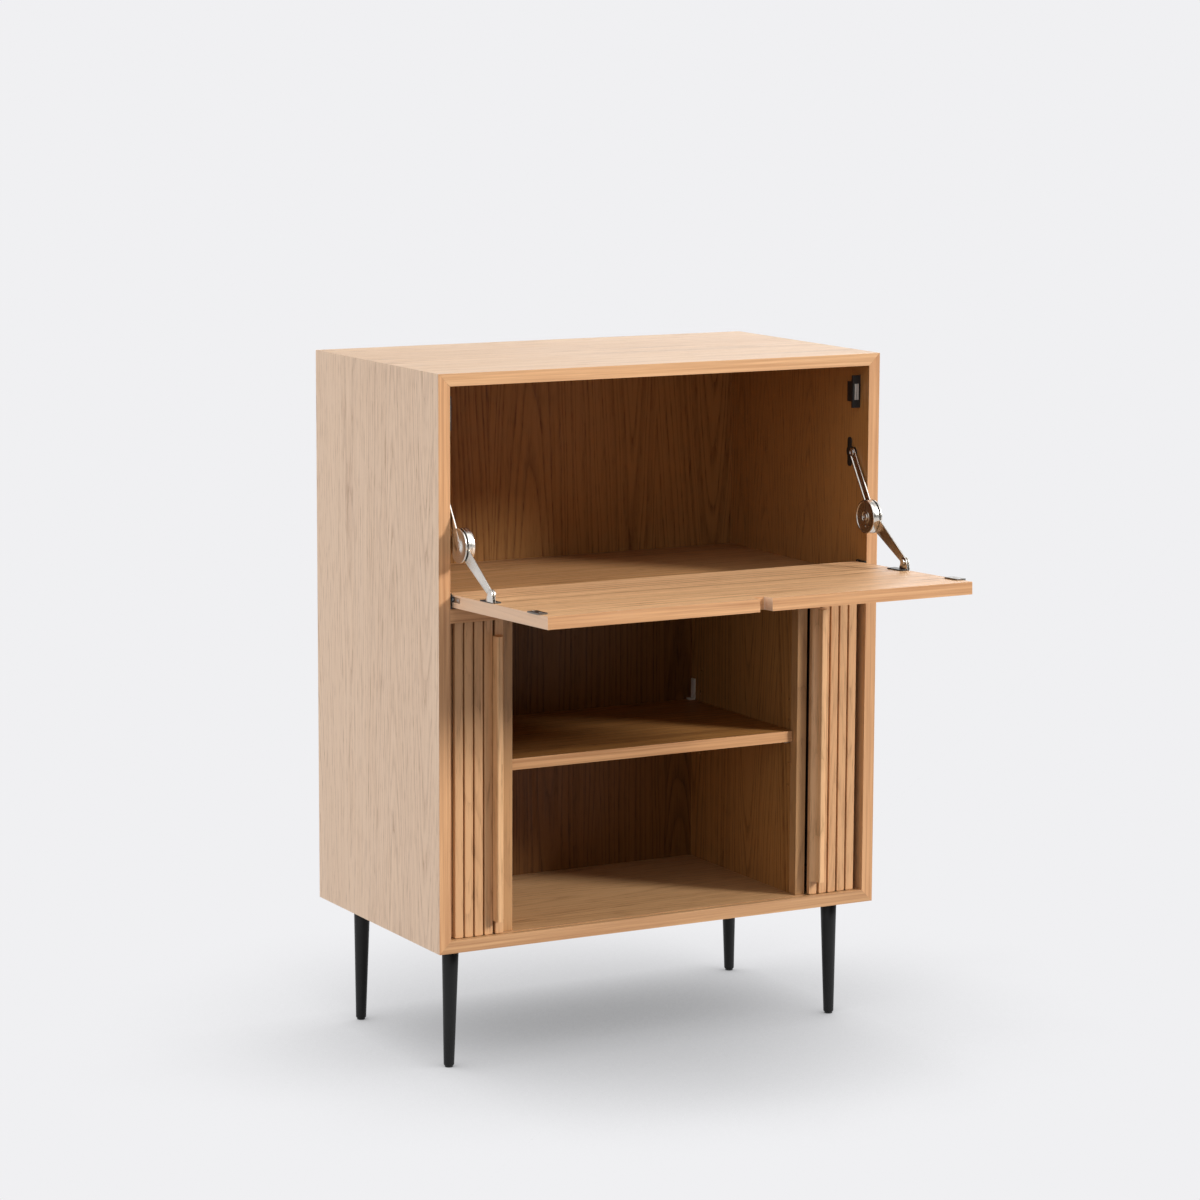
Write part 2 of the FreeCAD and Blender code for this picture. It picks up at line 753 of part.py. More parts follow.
nodes["side_left"] = [cut_all(left_board, wall_fixings)]
nodes["side_right"] = [cut_all(right_board, wall_fixings)]
nodes["top_panel"] = [top_board.cut(back)]
nodes["bottom_panel"] = [cut_all(bottom_board, [back] + dowels + floor_track)]
deck_board = block(-side_inner, side_inner, 0, back_face, deck_underside, deck_top)
nodes["deck"] = [cut_all(deck_board, dowels + deck_track + back_screws)]
nodes["back_panel"] = [cut_all(back, back_screws)]
nodes["dowels"] = dowels
nodes["back_screws"] = back_screws

# Middle bay
lower_back = block(-partition_outer, partition_outer, bay_depth, bay_depth + back_thickness,
                   floor_inner, deck_underside)
nodes["lower_back_panel"] = [cut_all(lower_back, back_screws)]
partition_front = partition_setback + lipping_depth
partition = block(bay_half, partition_outer, partition_front, bay_depth, floor_inner, deck_underside)
partition = cut_all(partition, pin_holes(False) + dowels + back_screws)
lipping = block(bay_half, partition_outer, partition_setback, partition_front, floor_inner, deck_underside)
nodes["partition_right"] = [partition]
nodes["partition_left"] = [mirrored(partition)]
nodes["partition_lipping_right"] = [lipping]
nodes["partition_lipping_left"] = [mirrored(lipping)]
shelf_half = bay_half - shelf_side_gap
nodes["shelf"] = [block(-shelf_half, shelf_half, shelf_setback, bay_depth - shelf_back_gap,
                        shelf_bottom, shelf_top)]
nodes["shelf_pins"] = both_sides(pin_holes(True))
nodes["shelf_clips"] = both_sides([shelf_clip()])

# Legs
rear_setback = carcass_depth - rear_leg_setback
leg_places = {
    "leg_front_left": (-1, front_leg_setback),
    "leg_front_right": (1, front_leg_setback),
    "leg_rear_left": (-1, rear_setback),
    "leg_rear_right": (1, rear_setback),
}
for name, (side, setback) in leg_places.items():
    nodes[name] = [leg(side, setback)]
nodes["leg_plates"] = [leg_plate(side, setback) for side, setback in leg_places.values()]
nodes["leg_glides"] = [glide(side, setback) for side, setback in leg_places.values()]

# Flap with what is fixed to it
leaf_screws = both_sides(hinge_leaf_screws())
flap_screws = both_sides(flap_bracket_screws())
plate_fixings = both_sides(strike_screws())
leaf = hinge_leaf()
flap = cut_all(flap_board(), [leaf, mirrored(leaf)] + leaf_screws + flap_screws + plate_fixings)
nodes["flap"] = [opened(flap)]
leaf = opened(cut_all(leaf, leaf_screws))
nodes["hinge_leaf_right"] = [leaf]
nodes["hinge_leaf_left"] = [mirrored(leaf)]
nodes["hinge_leaf_screws"] = [opened(piece) for piece in leaf_screws]
foot_bracket = opened(cut_all(flap_bracket(), flap_screws))
nodes["flap_bracket_right"] = [foot_bracket]
nodes["flap_bracket_left"] = [mirrored(foot_bracket)]
nodes["flap_bracket_screws"] = [opened(piece) for piece in flap_screws]
strike = opened(cut_all(strike_plate(), plate_fixings))
nodes["strike_plates"] = both_sides([strike])
nodes["strike_screws"] = [opened(piece) for piece in plate_fixings]

# Hinge plates, stays and catches
wall_plate = cut_all(hinge_plate(), plate_screws)
nodes["hinge_plate_right"] = [wall_plate]
nodes["hinge_plate_left"] = [mirrored(wall_plate)]
nodes["hinge_plate_screws"] = plate_screws
wall_bracket = cut_all(stay_bracket(), bracket_screws)
nodes["stay_bracket_right"] = [wall_bracket]
nodes["stay_bracket_left"] = [mirrored(wall_bracket)]
nodes["stay_bracket_screws"] = bracket_screws
stay_pieces = {
    "stay_upper_arm": upper_arm(),
    "stay_drum": drum(),
    "stay_rivet": hub_rivet(),
    "stay_lower_arm": lower_arm(),
    "catch_body": catch_body(),
}
for name, piece in stay_pieces.items():
    nodes[name + "_right"] = [piece]
    nodes[name + "_left"] = [mirrored(piece)]
nodes["catch_poles"] = both_sides(catch_poles())

# Tambour doors
door_pieces = {
    "lead_rail": [front_strip(door_edge, door_edge + lead_rail_width)],
    "front_slats": front_slats(),
    "front_canvas": [front_canvas()],
    "handle": [handle()],
    "pocket_slats": pocket_slats(),
    "pocket_canvas": [pocket_canvas()],
}
for name, pieces in door_pieces.items():
    nodes[name + "_right"] = pieces
    nodes[name + "_left"] = [mirrored(piece) for piece in pieces]

os.makedirs("parts", exist_ok=True)
shift = Vector(0, origin_shift, 0)
for name, pieces in nodes.items():
    placed = [piece.translated(shift) for piece in pieces]
    shape = placed[0] if len(placed) == 1 else Part.makeCompound(placed)
    shape.exportStep("parts/" + name + ".step")


def turn_between(first, second):
    """The angle in degrees about +X from one direction in the plane of Y and Z to another."""
    angle = math.atan2(second.z, second.y) - math.atan2(first.z, first.y)
    return math.degrees((angle + math.pi) % (2 * math.pi) - math.pi)


upper_turn = turn_between(hub - wall_pivot, closed_hub - wall_pivot)
lower_turn = turn_between(hub - flap_pivot, closed_hub - closed_pivot)
print("nodes", len(nodes), "origin shift", round(origin_shift, 4))
print("flap hinge", round(hinge_depth + origin_shift, 4), round(hinge_z, 4))
print("wall pivot", round(wall_pivot.y + origin_shift, 4), round(wall_pivot.z, 4))
print("flap pivot", round(flap_pivot.y + origin_shift, 4), round(flap_pivot.z, 4))
print("hub", round(hub.y + origin_shift, 4), round(hub.z, 4))
print("upper arm turns", round(upper_turn, 3), "lower arm turns", round(lower_turn + flap_open_angle, 3))
print("door travel", door_travel)
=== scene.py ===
# Oak bar cabinet with a drop-front flap on folding stays and two tambour doors
import json
import math
import bpy
import bmesh
from mathutils import Matrix, Vector


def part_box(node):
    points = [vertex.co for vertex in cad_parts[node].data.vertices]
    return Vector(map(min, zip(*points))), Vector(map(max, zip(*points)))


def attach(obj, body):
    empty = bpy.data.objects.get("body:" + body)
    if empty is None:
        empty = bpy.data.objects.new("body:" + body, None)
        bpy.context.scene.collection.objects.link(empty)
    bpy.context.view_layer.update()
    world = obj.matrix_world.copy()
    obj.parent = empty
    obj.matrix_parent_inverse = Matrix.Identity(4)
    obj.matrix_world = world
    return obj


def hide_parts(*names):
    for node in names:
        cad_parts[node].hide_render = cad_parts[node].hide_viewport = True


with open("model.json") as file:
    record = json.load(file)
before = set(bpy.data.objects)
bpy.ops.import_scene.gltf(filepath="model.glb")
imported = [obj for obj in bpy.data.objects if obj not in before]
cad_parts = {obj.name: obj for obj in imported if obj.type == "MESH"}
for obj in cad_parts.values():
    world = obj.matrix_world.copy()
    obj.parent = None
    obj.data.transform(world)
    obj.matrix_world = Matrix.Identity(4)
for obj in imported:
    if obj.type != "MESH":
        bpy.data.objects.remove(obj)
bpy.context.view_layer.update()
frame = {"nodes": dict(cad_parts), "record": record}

mm = 0.001
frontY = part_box("top_panel")[0][1]  # plane of the carcass's front edges
sides = {"left": -1, "right": 1}
print("frame loaded,", len(frame["nodes"]), "nodes")

# Camera: the photograph's place and lens, taken from the carcass's corners
cameraLook = {
    "place": (-3.03686, -5.34313, 1.69754),  # y from the carcass's front plane
    "yaw": -28.658,
    "pitch": -8.915,
    "roll": 0.227,
    "lens": 117.23,
    "sensor": 36.0,
}

# Studio: a pale floor that runs into the background, and five soft lamps; gloss sees a bright wall behind
studio = {
    "background": (0.871, 0.871, 0.888),
    "floorColor": (0.32, 0.32, 0.325),  # what the floor gives back to the cabinet
    "floorSize": 60.0,
    "shadowReach": 0.85,
    "shadowLean": (0.36, -0.34, 0.87),  # the way towards the sky that the floor looks at
    "shadowDepth": 0.23,
    "shadowRange": (0.1, 0.88),  # how open the sky above is, from full shadow to none
    "shadowSamples": 16,
    "skyBack": 0.72,
    "skyFront": 0.05,
    "skyFill": 0.03,
    "skyLean": (0.75, 0.65),  # how much back and up count towards the bright wall
    "skyRange": (-0.45, 0.65),
    "lamps": [
        {"name": "keyLamp", "around": 45.0, "up": 27.5, "strength": 3.1, "spread": 14.0},
        {"name": "backRightLamp", "around": 135.0, "up": 24.0, "strength": 0.6, "spread": 40.0},
        {"name": "backLeftLamp", "around": 250.0, "up": 14.0, "strength": 1.9, "spread": 40.0,
         "gloss": False},  # in gloss it burns out the top seen from the right
        {"name": "fillLamp", "around": 303.0, "up": 14.0, "strength": 0.85, "spread": 70.0},
        {"name": "topLamp", "around": 15.0, "up": 62.0, "strength": 1.25, "spread": 60.0},
    ],
}


def placeCamera(look):
    data = bpy.data.cameras.new("photoCamera")
    data.lens = look["lens"]
    data.sensor_width = look["sensor"]
    data.clip_end = 200.0
    camera = bpy.data.objects.new("photoCamera", data)
    bpy.context.scene.collection.objects.link(camera)
    x, y, z = look["place"]
    turn = Matrix.Rotation(math.radians(look["yaw"]), 4, "Z")
    tilt = Matrix.Rotation(math.radians(90 + look["pitch"]), 4, "X")
    roll = Matrix.Rotation(math.radians(look["roll"]), 4, "Z")
    camera.matrix_world = Matrix.Translation((x, y + frontY, z)) @ turn @ tilt @ roll
    bpy.context.scene.camera = camera


def lightSky(look):
    world = bpy.data.worlds.new("studioSky")
    bpy.context.scene.world = world
    world.use_nodes = True
    tree = world.node_tree
    tree.nodes.clear()
    place = tree.nodes.new("ShaderNodeTexCoord")
    split = tree.nodes.new("ShaderNodeSeparateXYZ")
    tree.links.new(place.outputs["Generated"], split.inputs[0])
    backward = times(tree, split.outputs["Y"], look["skyLean"][0])
    upward = times(tree, split.outputs["Z"], look["skyLean"][1])
    toWall = mathNode(tree, "ADD", backward, upward)
    level = spread(tree, toWall, *look["skyRange"], look["skyFront"], look["skyBack"])
    fill = tree.nodes.new("ShaderNodeBackground")
    fill.inputs["Strength"].default_value = look["skyFill"]
    path = tree.nodes.new("ShaderNodeLightPath")
    shaders = []
    for strength in (level, 1.0):
        shader = tree.nodes.new("ShaderNodeBackground")
        shader.inputs["Color"].default_value = (*look["background"], 1)
        feed(tree, shader.inputs["Strength"], strength)
        shaders.append(shader.outputs[0])
    seen = mathNode(tree, "MAXIMUM", path.outputs["Is Camera Ray"], path.outputs["Is Transmission Ray"])
    glossy = mixShaders(tree, path.outputs["Is Glossy Ray"], fill.outputs[0], shaders[0])
    output = tree.nodes.new("ShaderNodeOutputWorld")
    tree.links.new(mixShaders(tree, seen, glossy, shaders[1]), output.inputs["Surface"])


def hangLamps(look):
    for lamp in look["lamps"]:
        data = bpy.data.lights.new(lamp["name"], "SUN")
        data.energy = lamp["strength"]
        data.angle = math.radians(lamp["spread"])
        obj = bpy.data.objects.new(lamp["name"], data)
        bpy.context.scene.collection.objects.link(obj)
        obj.visible_glossy = lamp.get("gloss", True)
        around, up = math.radians(lamp["around"]), math.radians(lamp["up"])
        toward = Vector((math.sin(around) * math.cos(up), -math.cos(around) * math.cos(up), math.sin(up)))
        obj.rotation_euler = toward.to_track_quat("Z", "Y").to_euler()


def layFloor(look):
    bm = bmesh.new()
    bmesh.ops.create_grid(bm, x_segments=1, y_segments=1, size=look["floorSize"])
    mesh = bpy.data.meshes.new("studioFloor")
    bm.to_mesh(mesh)
    bm.free()
    floor = bpy.data.objects.new("studioFloor", mesh)
    bpy.context.scene.collection.objects.link(floor)
    material, tree, shader = newMaterial("floorPaint")
    shader.inputs["Base Color"].default_value = (*look["floorColor"], 1)
    shader.inputs["Roughness"].default_value = 1.0
    shader.inputs["Specular IOR Level"].default_value = 0.0
    shade = tree.nodes.new("ShaderNodeAmbientOcclusion")
    shade.samples = look["shadowSamples"]
    shade.inputs["Distance"].default_value = look["shadowReach"]
    shade.inputs["Normal"].default_value = look["shadowLean"]
    level = spread(tree, shade.outputs["AO"], *look["shadowRange"], look["shadowDepth"], 1.0)
    seen = tree.nodes.new("ShaderNodeEmission")
    seen.inputs["Color"].default_value = (*look["background"], 1)
    tree.links.new(level, seen.inputs["Strength"])
    path = tree.nodes.new("ShaderNodeLightPath")
    mirrored = mathNode(tree, "MAXIMUM", path.outputs["Is Glossy Ray"], path.outputs["Is Transmission Ray"])
    shown = mathNode(tree, "MAXIMUM", path.outputs["Is Camera Ray"], mirrored)
    surface = mixShaders(tree, shown, shader.outputs[0], seen.outputs[0])
    tree.links.new(surface, tree.nodes["Material Output"].inputs["Surface"])
    mesh.materials.append(material)


# Node helpers
def newMaterial(name):
    material = bpy.data.materials.new(name)
    material.use_nodes = True
    tree = material.node_tree
    return material, tree, tree.nodes["Principled BSDF"]


def feed(tree, socket, value):
    if isinstance(value, bpy.types.NodeSocket):
        tree.links.new(value, socket)
    else:
        socket.default_value = value


def mathNode(tree, operation, first, second=None):
    node = tree.nodes.new("ShaderNodeMath")
    node.operation = operation
    feed(tree, node.inputs[0], first)
    if second is not None:
        feed(tree, node.inputs[1], second)
    return node.outputs[0]


def times(tree, first, second):
    return mathNode(tree, "MULTIPLY", first, second)


def mixShaders(tree, factor, first, second):
    mix = tree.nodes.new("ShaderNodeMixShader")
    feed(tree, mix.inputs[0], factor)
    tree.links.new(first, mix.inputs[1])
    tree.links.new(second, mix.inputs[2])
    return mix.outputs[0]


def total(tree, terms):
    result = terms[0]
    for term in terms[1:]:
        result = mathNode(tree, "ADD", result, term)
    return result


def scaledPlace(tree, axes, scales, shift=0.0):
    combine = tree.nodes.new("ShaderNodeCombineXYZ")
    for index, (axis, scale) in enumerate(zip(axes, scales)):
        value = times(tree, axis, scale)
        if index == 2:
            value = mathNode(tree, "ADD", value, shift)
        tree.links.new(value, combine.inputs[index])
    return combine.outputs[0]


def noise(tree, place, detail, roughness=0.5):
    node = tree.nodes.new("ShaderNodeTexNoise")
    node.inputs["Scale"].default_value = 1.0
    node.inputs["Detail"].default_value = detail
    node.inputs["Roughness"].default_value = roughness
    tree.links.new(place, node.inputs["Vector"])
    return node.outputs[0]


def spread(tree, value, low, high, toLow=0.0, toHigh=1.0):
    node = tree.nodes.new("ShaderNodeMapRange")
    feed(tree, node.inputs["Value"], value)
    node.inputs["From Min"].default_value = low
    node.inputs["From Max"].default_value = high
    node.inputs["To Min"].default_value = toLow
    node.inputs["To Max"].default_value = toHigh
    return node.outputs[0]


def mixColor(tree, factor, first, second):
    # A Mix node's colours are its sockets 6 and 7, and its colour outlet is 2
    node = tree.nodes.new("ShaderNodeMix")
    node.data_type = "RGBA"
    feed(tree, node.inputs[0], factor)
    feed(tree, node.inputs[6], first if isinstance(first, bpy.types.NodeSocket) else (*first, 1))
    feed(tree, node.inputs[7], second if isinstance(second, bpy.types.NodeSocket) else (*second, 1))
    return node.outputs[2]


def grainNoise(tree, grain, size, shift, detail, roughness=0.5):
    often, oftenAcross = size
    return noise(tree, scaledPlace(tree, grain, (often, oftenAcross, oftenAcross), shift), detail, roughness)


def bumpFrom(tree, shader, height, strength, distance):
    bump = tree.nodes.new("ShaderNodeBump")
    bump.inputs["Strength"].default_value = strength
    bump.inputs["Distance"].default_value = distance
    tree.links.new(height, bump.inputs["Height"])
    tree.links.new(bump.outputs[0], shader.inputs["Normal"])


# Oak: veneer laid in leaves, or solid strips, with growth rings, fibres and pores along the grain.
# A size says how often a pattern comes along and across the grain, per metre, and a depth how dark it is.
oakLook = {
    "light": (0.70, 0.435, 0.235),
    "dark": (0.27, 0.120, 0.045),
    # Painted shade: inner faces take these darker tones, standing in for the shade inside the cabinet
    "innerLight": (0.41, 0.195, 0.060),
    "innerDark": (0.11, 0.038, 0.009),
    "innerBelow": 0.25,  # how much of the painted shade on inner faces stays below the given level
    "bandLight": (0.72, 0.395, 0.190),
    "bandDark": (0.42, 0.185, 0.075),
    "bandSize": (4.0, 260.0),
    "bandRange": (0.3, 0.8),
    "endTone": (0.74, 0.555, 0.415),
    "endShare": 0.6,
    "leafWidth": 0.118,
    "leafDepth": 0.14,
    "seedLeaf": 0.37,
    "seedChance": 13.7,
    "leafShift": 3.7,
    "pith": (0.004, 0.030),  # how far below the face the log's heart lies
    "taper": (-0.085, 0.085),
    "aside": (-0.35, 0.35),
    "wanderSize": (2.2, 16.0),
    "wander": 0.022,
    "ringSpacing": 0.0068,
    "unevenSize": 70.0,
    "uneven": 2.6,
    "ringDepth": 0.24,
    "earlyEnd": 0.55,  # in shares of a ring
    "lateStart": 0.86,
    "lateDepth": 0.6,
    "fibreSize": (7.0, 360.0),
    "fibreRange": (0.32, 0.68),
    "fibreDepth": 0.13,
    "dashSize": (26.0, 260.0),
    "dashRange": (0.50, 0.68),
    "dashInLate": 0.45,  # how much of the dashes is left where a ring's late wood is
    "dashDepth": 0.34,
    "poreSize": (75.0, 950.0),
    "poreRange": (0.60, 0.70),
    "poreFull": 0.8,
    "poreInLate": 0.3,
    "poreDepth": 0.30,
    "blotchSize": (1.1, 11.0),
    "blotchDepth": 0.20,
    "level": -0.02,
    "roughness": 0.42,
    "roughRange": (0.2, 1.2),
    "roughSpan": (-0.06, 0.14),
    "poreRoughness": 0.5,
    "specular": 0.5,
    "fibreHeight": 0.35,
    "poreHeight": 0.8,
    "bumpStrength": 0.35,
    "bumpDistance": 0.0004,
}
middle = 0.5  # of a leaf, and of a noise
squarely = 0.6  # how squarely a face has to look along an axis to count as that side
frontSquarely = 0.8


def leafFigure(tree, look, grain, seed):
    # Which leaf this is, and how early or late in a growth ring: a log's cone cut flat gives pointed arches
    along, across, depth = grain
    leafCount = mathNode(tree, "DIVIDE", across, look["leafWidth"])
    leafPlace = mathNode(tree, "ADD", leafCount, seed * look["seedLeaf"])
    leafIndex = mathNode(tree, "FLOOR", leafPlace)
    inLeaf = mathNode(tree, "SUBTRACT", mathNode(tree, "FRACT", leafPlace), middle)
    chance = tree.nodes.new("ShaderNodeTexWhiteNoise")
    chance.noise_dimensions = "1D"
    tree.links.new(mathNode(tree, "ADD", leafIndex, seed * look["seedChance"]), chance.inputs["W"])
    chances = tree.nodes.new("ShaderNodeSeparateColor")
    tree.links.new(chance.outputs["Color"], chances.inputs[0])
    first, second, third = chances.outputs
    pith = spread(tree, first, 0.0, 1.0, *look["pith"])
    taper = spread(tree, second, 0.0, 1.0, *look["taper"])
    shift = spread(tree, third, 0.0, 1.0, *look["aside"])
    aside = times(tree, mathNode(tree, "ADD", inLeaf, shift), look["leafWidth"])
    square = mathNode(tree, "ADD", times(tree, aside, aside), times(tree, pith, pith))
    leafShift = times(tree, leafIndex, look["leafShift"])
    wander = grainNoise(tree, grain, look["wanderSize"], leafShift, 2.0)
    phase = total(tree, [
        mathNode(tree, "SQRT", square),
        times(tree, taper, along),
        times(tree, mathNode(tree, "SUBTRACT", wander, middle), look["wander"]),
    ])
    lengthwise = scaledPlace(tree, (phase, leafPlace, depth), (look["unevenSize"], 0.0, 0.0), leafShift)
    uneven = times(tree, noise(tree, lengthwise, 1.0), look["uneven"])
    ringCount = mathNode(tree, "DIVIDE", phase, look["ringSpacing"])
    ring = mathNode(tree, "FRACT", mathNode(tree, "ADD", ringCount, uneven))
    early = spread(tree, ring, 0.0, look["earlyEnd"], 1.0, 0.0)
    late = spread(tree, ring, look["lateStart"], 1.0, 0.0, look["lateDepth"])
    return leafShift, third, early, late


def bandTone(tree, look, facing, grain, seed, band):
    # Where the solid edge band shows, and its colour; its lines follow the edge round the corner
    along, across, depth = grain
    if band == "front":
        onBand = mathNode(tree, "LESS_THAN", facing.outputs["Y"], -frontSquarely)
    else:
        onBand = mathNode(tree, "LESS_THAN", mathNode(tree, "ABSOLUTE", facing.outputs["Z"]), squarely)
    onEnd = mathNode(tree, "GREATER_THAN", mathNode(tree, "ABSOLUTE", facing.outputs["X"]), squarely)
    swapped = times(tree, onEnd, mathNode(tree, "SUBTRACT", across, along))
    turned = (mathNode(tree, "ADD", along, swapped), mathNode(tree, "SUBTRACT", across, swapped), depth)
    lines = spread(tree, grainNoise(tree, turned, look["bandSize"], seed, 3.0, 0.6), *look["bandRange"])
    tone = mixColor(tree, lines, look["bandLight"], look["bandDark"])
    if band == "edges":
        tone = mixColor(tree, times(tree, onEnd, look["endShare"]), tone, look["endTone"])
    return onBand, tone


def oakMaterial(name, axes, seed, band=None, changes=None):
    look = {**oakLook, **(changes or {})}
    material, tree, shader = newMaterial(name)
    coordinate = tree.nodes.new("ShaderNodeTexCoord")
    split = tree.nodes.new("ShaderNodeSeparateXYZ")
    tree.links.new(coordinate.outputs["Object"], split.inputs[0])
    grain = tuple(split.outputs[axis] for axis in axes)
    leafShift, leafTone, early, late = leafFigure(tree, look, grain, seed)

    fibres = grainNoise(tree, grain, look["fibreSize"], leafShift, 2.0, 0.6)
    fibres = spread(tree, fibres, *look["fibreRange"])
    dashes = grainNoise(tree, grain, look["dashSize"], leafShift, 1.0)
    dashes = spread(tree, dashes, *look["dashRange"])
    dashes = times(tree, dashes, spread(tree, early, 0.0, 1.0, look["dashInLate"], 1.0))
    pores = grainNoise(tree, grain, look["poreSize"], leafShift, 1.0)
    pores = spread(tree, pores, *look["poreRange"])
    pores = times(tree, pores, spread(tree, early, 0.0, look["poreFull"], look["poreInLate"], 1.0))
    blotches = grainNoise(tree, grain, look["blotchSize"], leafShift, 2.0)
    darkness = total(tree, [
        times(tree, mathNode(tree, "MAXIMUM", early, late), look["ringDepth"]),
        times(tree, pores, look["poreDepth"]),
        times(tree, dashes, look["dashDepth"]),
        times(tree, mathNode(tree, "SUBTRACT", fibres, middle), look["fibreDepth"]),
        times(tree, mathNode(tree, "SUBTRACT", blotches, middle), look["blotchDepth"]),
        times(tree, mathNode(tree, "SUBTRACT", leafTone, middle), look["leafDepth"]),
        look["level"],
    ])
    darkness = spread(tree, darkness, 0.0, 1.0)
    color = mixColor(tree, darkness, look["light"], look["dark"])

    facing = tree.nodes.new("ShaderNodeSeparateXYZ")
    tree.links.new(coordinate.outputs["Normal"], facing.inputs[0])
    # Painted shade: faces looking inwards take the darker tone, in full above the given level
    if "inner" in look:
        axis, sign = look["inner"]
        onShadedInner = mathNode(tree, "GREATER_THAN", times(tree, facing.outputs[axis], sign), squarely)
        if "innerAbove" in look:
            above = look["innerAbove"]
            reach = spread(tree, split.outputs["Z"], above - mm, above, look["innerBelow"], 1.0)
            onShadedInner = times(tree, onShadedInner, reach)
        shadedInnerColor = mixColor(tree, darkness, look["innerLight"], look["innerDark"])
        color = mixColor(tree, onShadedInner, color, shadedInnerColor)
    if band:
        onBand, tone = bandTone(tree, look, facing, grain, seed, band)
        color = mixColor(tree, onBand, color, tone)
    tree.links.new(color, shader.inputs["Base Color"])

    worn = total(tree, [times(tree, pores, look["poreRoughness"]), fibres])
    smoothest, roughest = (look["roughness"] + step for step in look["roughSpan"])
    tree.links.new(spread(tree, worn, *look["roughRange"], smoothest, roughest), shader.inputs["Roughness"])
    shader.inputs["Specular IOR Level"].default_value = look["specular"]
    raised = times(tree, fibres, look["fibreHeight"])
    height = mathNode(tree, "SUBTRACT", raised, times(tree, pores, look["poreHeight"]))
    bumpFrom(tree, shader, height, look["bumpStrength"], look["bumpDistance"])
    return material


# Plain finishes: base colour, how far it varies, roughness, grain size of the variation and bump depth
plainFinishes = {
    "blackLacquer": {"color": (0.009, 0.009, 0.009), "vary": 0.35, "roughness": 0.40, "size": 260.0,
                     "bump": 0.00006, "specular": 0.28},
    "blackSteel": {"color": (0.018, 0.017, 0.016), "vary": 0.4, "roughness": 0.38, "size": 500.0,
                   "bump": 0.00003},
    "nickel": {"color": (0.74, 0.70, 0.64), "vary": 0.08, "roughness": 0.24, "size": 320.0,
               "bump": 0.00002, "metal": 1.0},
    "zinc": {"color": (0.66, 0.67, 0.68), "vary": 0.12, "roughness": 0.30, "size": 700.0,
             "bump": 0.00002, "metal": 1.0},
    "groundSteel": {"color": (0.78, 0.79, 0.77), "vary": 0.10, "roughness": 0.5, "size": 700.0,
                    "bump": 0.00002, "metal": 0.6},
    "darkNickel": {"color": (0.20, 0.185, 0.165), "vary": 0.15, "roughness": 0.32, "size": 400.0,
                   "bump": 0.00002, "metal": 1.0},
    "blackPlastic": {"color": (0.012, 0.012, 0.012), "vary": 0.3, "roughness": 0.5, "size": 900.0,
                     "bump": 0.00004},
    "palePlastic": {"color": (0.70, 0.68, 0.62), "vary": 0.06, "roughness": 0.45, "size": 500.0,
                    "bump": 0.00003},
    "beech": {"color": (0.62, 0.43, 0.25), "vary": 0.25, "roughness": 0.6, "size": 350.0, "bump": 0.00008},
}
plainLook = {
    "specular": 0.5,
    "metal": 0.0,
    "cloudRatio": 12,  # how much larger the clouds are than the grain
    "mixture": 0.5,
    "toneRange": (0.35, 0.65),
    "roughRange": (0.3, 0.7),
    "roughSpan": (-0.05, 0.07),
    "bumpStrength": 0.5,
}


def plainMaterial(name, changes):
    look = {**plainLook, **changes}
    material, tree, shader = newMaterial(name)
    coordinate = tree.nodes.new("ShaderNodeTexCoord")
    split = tree.nodes.new("ShaderNodeSeparateXYZ")
    tree.links.new(coordinate.outputs["Object"], split.inputs[0])
    size = look["size"]
    cloudSize = size / look["cloudRatio"]
    grain = noise(tree, scaledPlace(tree, split.outputs, (size, size, size)), 3.0, 0.6)
    cloud = noise(tree, scaledPlace(tree, split.outputs, (cloudSize, cloudSize, cloudSize)), 2.0)
    darker = tuple(channel * (1 - look["vary"]) for channel in look["color"])
    mixed = mathNode(tree, "ADD", times(tree, grain, look["mixture"]), times(tree, cloud, look["mixture"]))
    color = mixColor(tree, spread(tree, mixed, *look["toneRange"]), look["color"], darker)
    tree.links.new(color, shader.inputs["Base Color"])
    smoothest, roughest = (look["roughness"] + step for step in look["roughSpan"])
    tree.links.new(spread(tree, cloud, *look["roughRange"], smoothest, roughest), shader.inputs["Roughness"])
    shader.inputs["Metallic"].default_value = look["metal"]
    shader.inputs["Specular IOR Level"].default_value = look["specular"]
    bumpFrom(tree, shader, grain, look["bumpStrength"], look["bump"])
    return material


# Canvas: a plain weave, dark brown as painted shade for the gaps between the slats
canvasLook = {
    "light": (0.10, 0.062, 0.036),
    "dark": (0.035, 0.02, 0.011),
    "threads": 1400.0,
    "roughness": 0.95,
    "bumpStrength": 0.6,
    "bumpDistance": 0.0002,
}


def canvasMaterial(name, look, axes):
    material, tree, shader = newMaterial(name)
    coordinate = tree.nodes.new("ShaderNodeTexCoord")
    split = tree.nodes.new("ShaderNodeSeparateXYZ")
    tree.links.new(coordinate.outputs["Object"], split.inputs[0])
    waves = []
    for axis in axes:
        waves.append(mathNode(tree, "SINE", times(tree, split.outputs[axis], look["threads"] * math.pi)))
    weave = times(tree, *waves)
    color = mixColor(tree, spread(tree, weave, -1.0, 1.0), look["light"], look["dark"])
    tree.links.new(color, shader.inputs["Base Color"])
    shader.inputs["Roughness"].default_value = look["roughness"]
    bumpFrom(tree, shader, weave, look["bumpStrength"], look["bumpDistance"])
    return material


print("finishes ready")
placeCamera(cameraLook)
lightSky(studio)
hangLamps(studio)
layFloor(studio)
bpy.context.scene.view_settings.view_transform = "Standard"
print("studio ready")

finishes = {name: plainMaterial(name, look) for name, look in plainFinishes.items()}
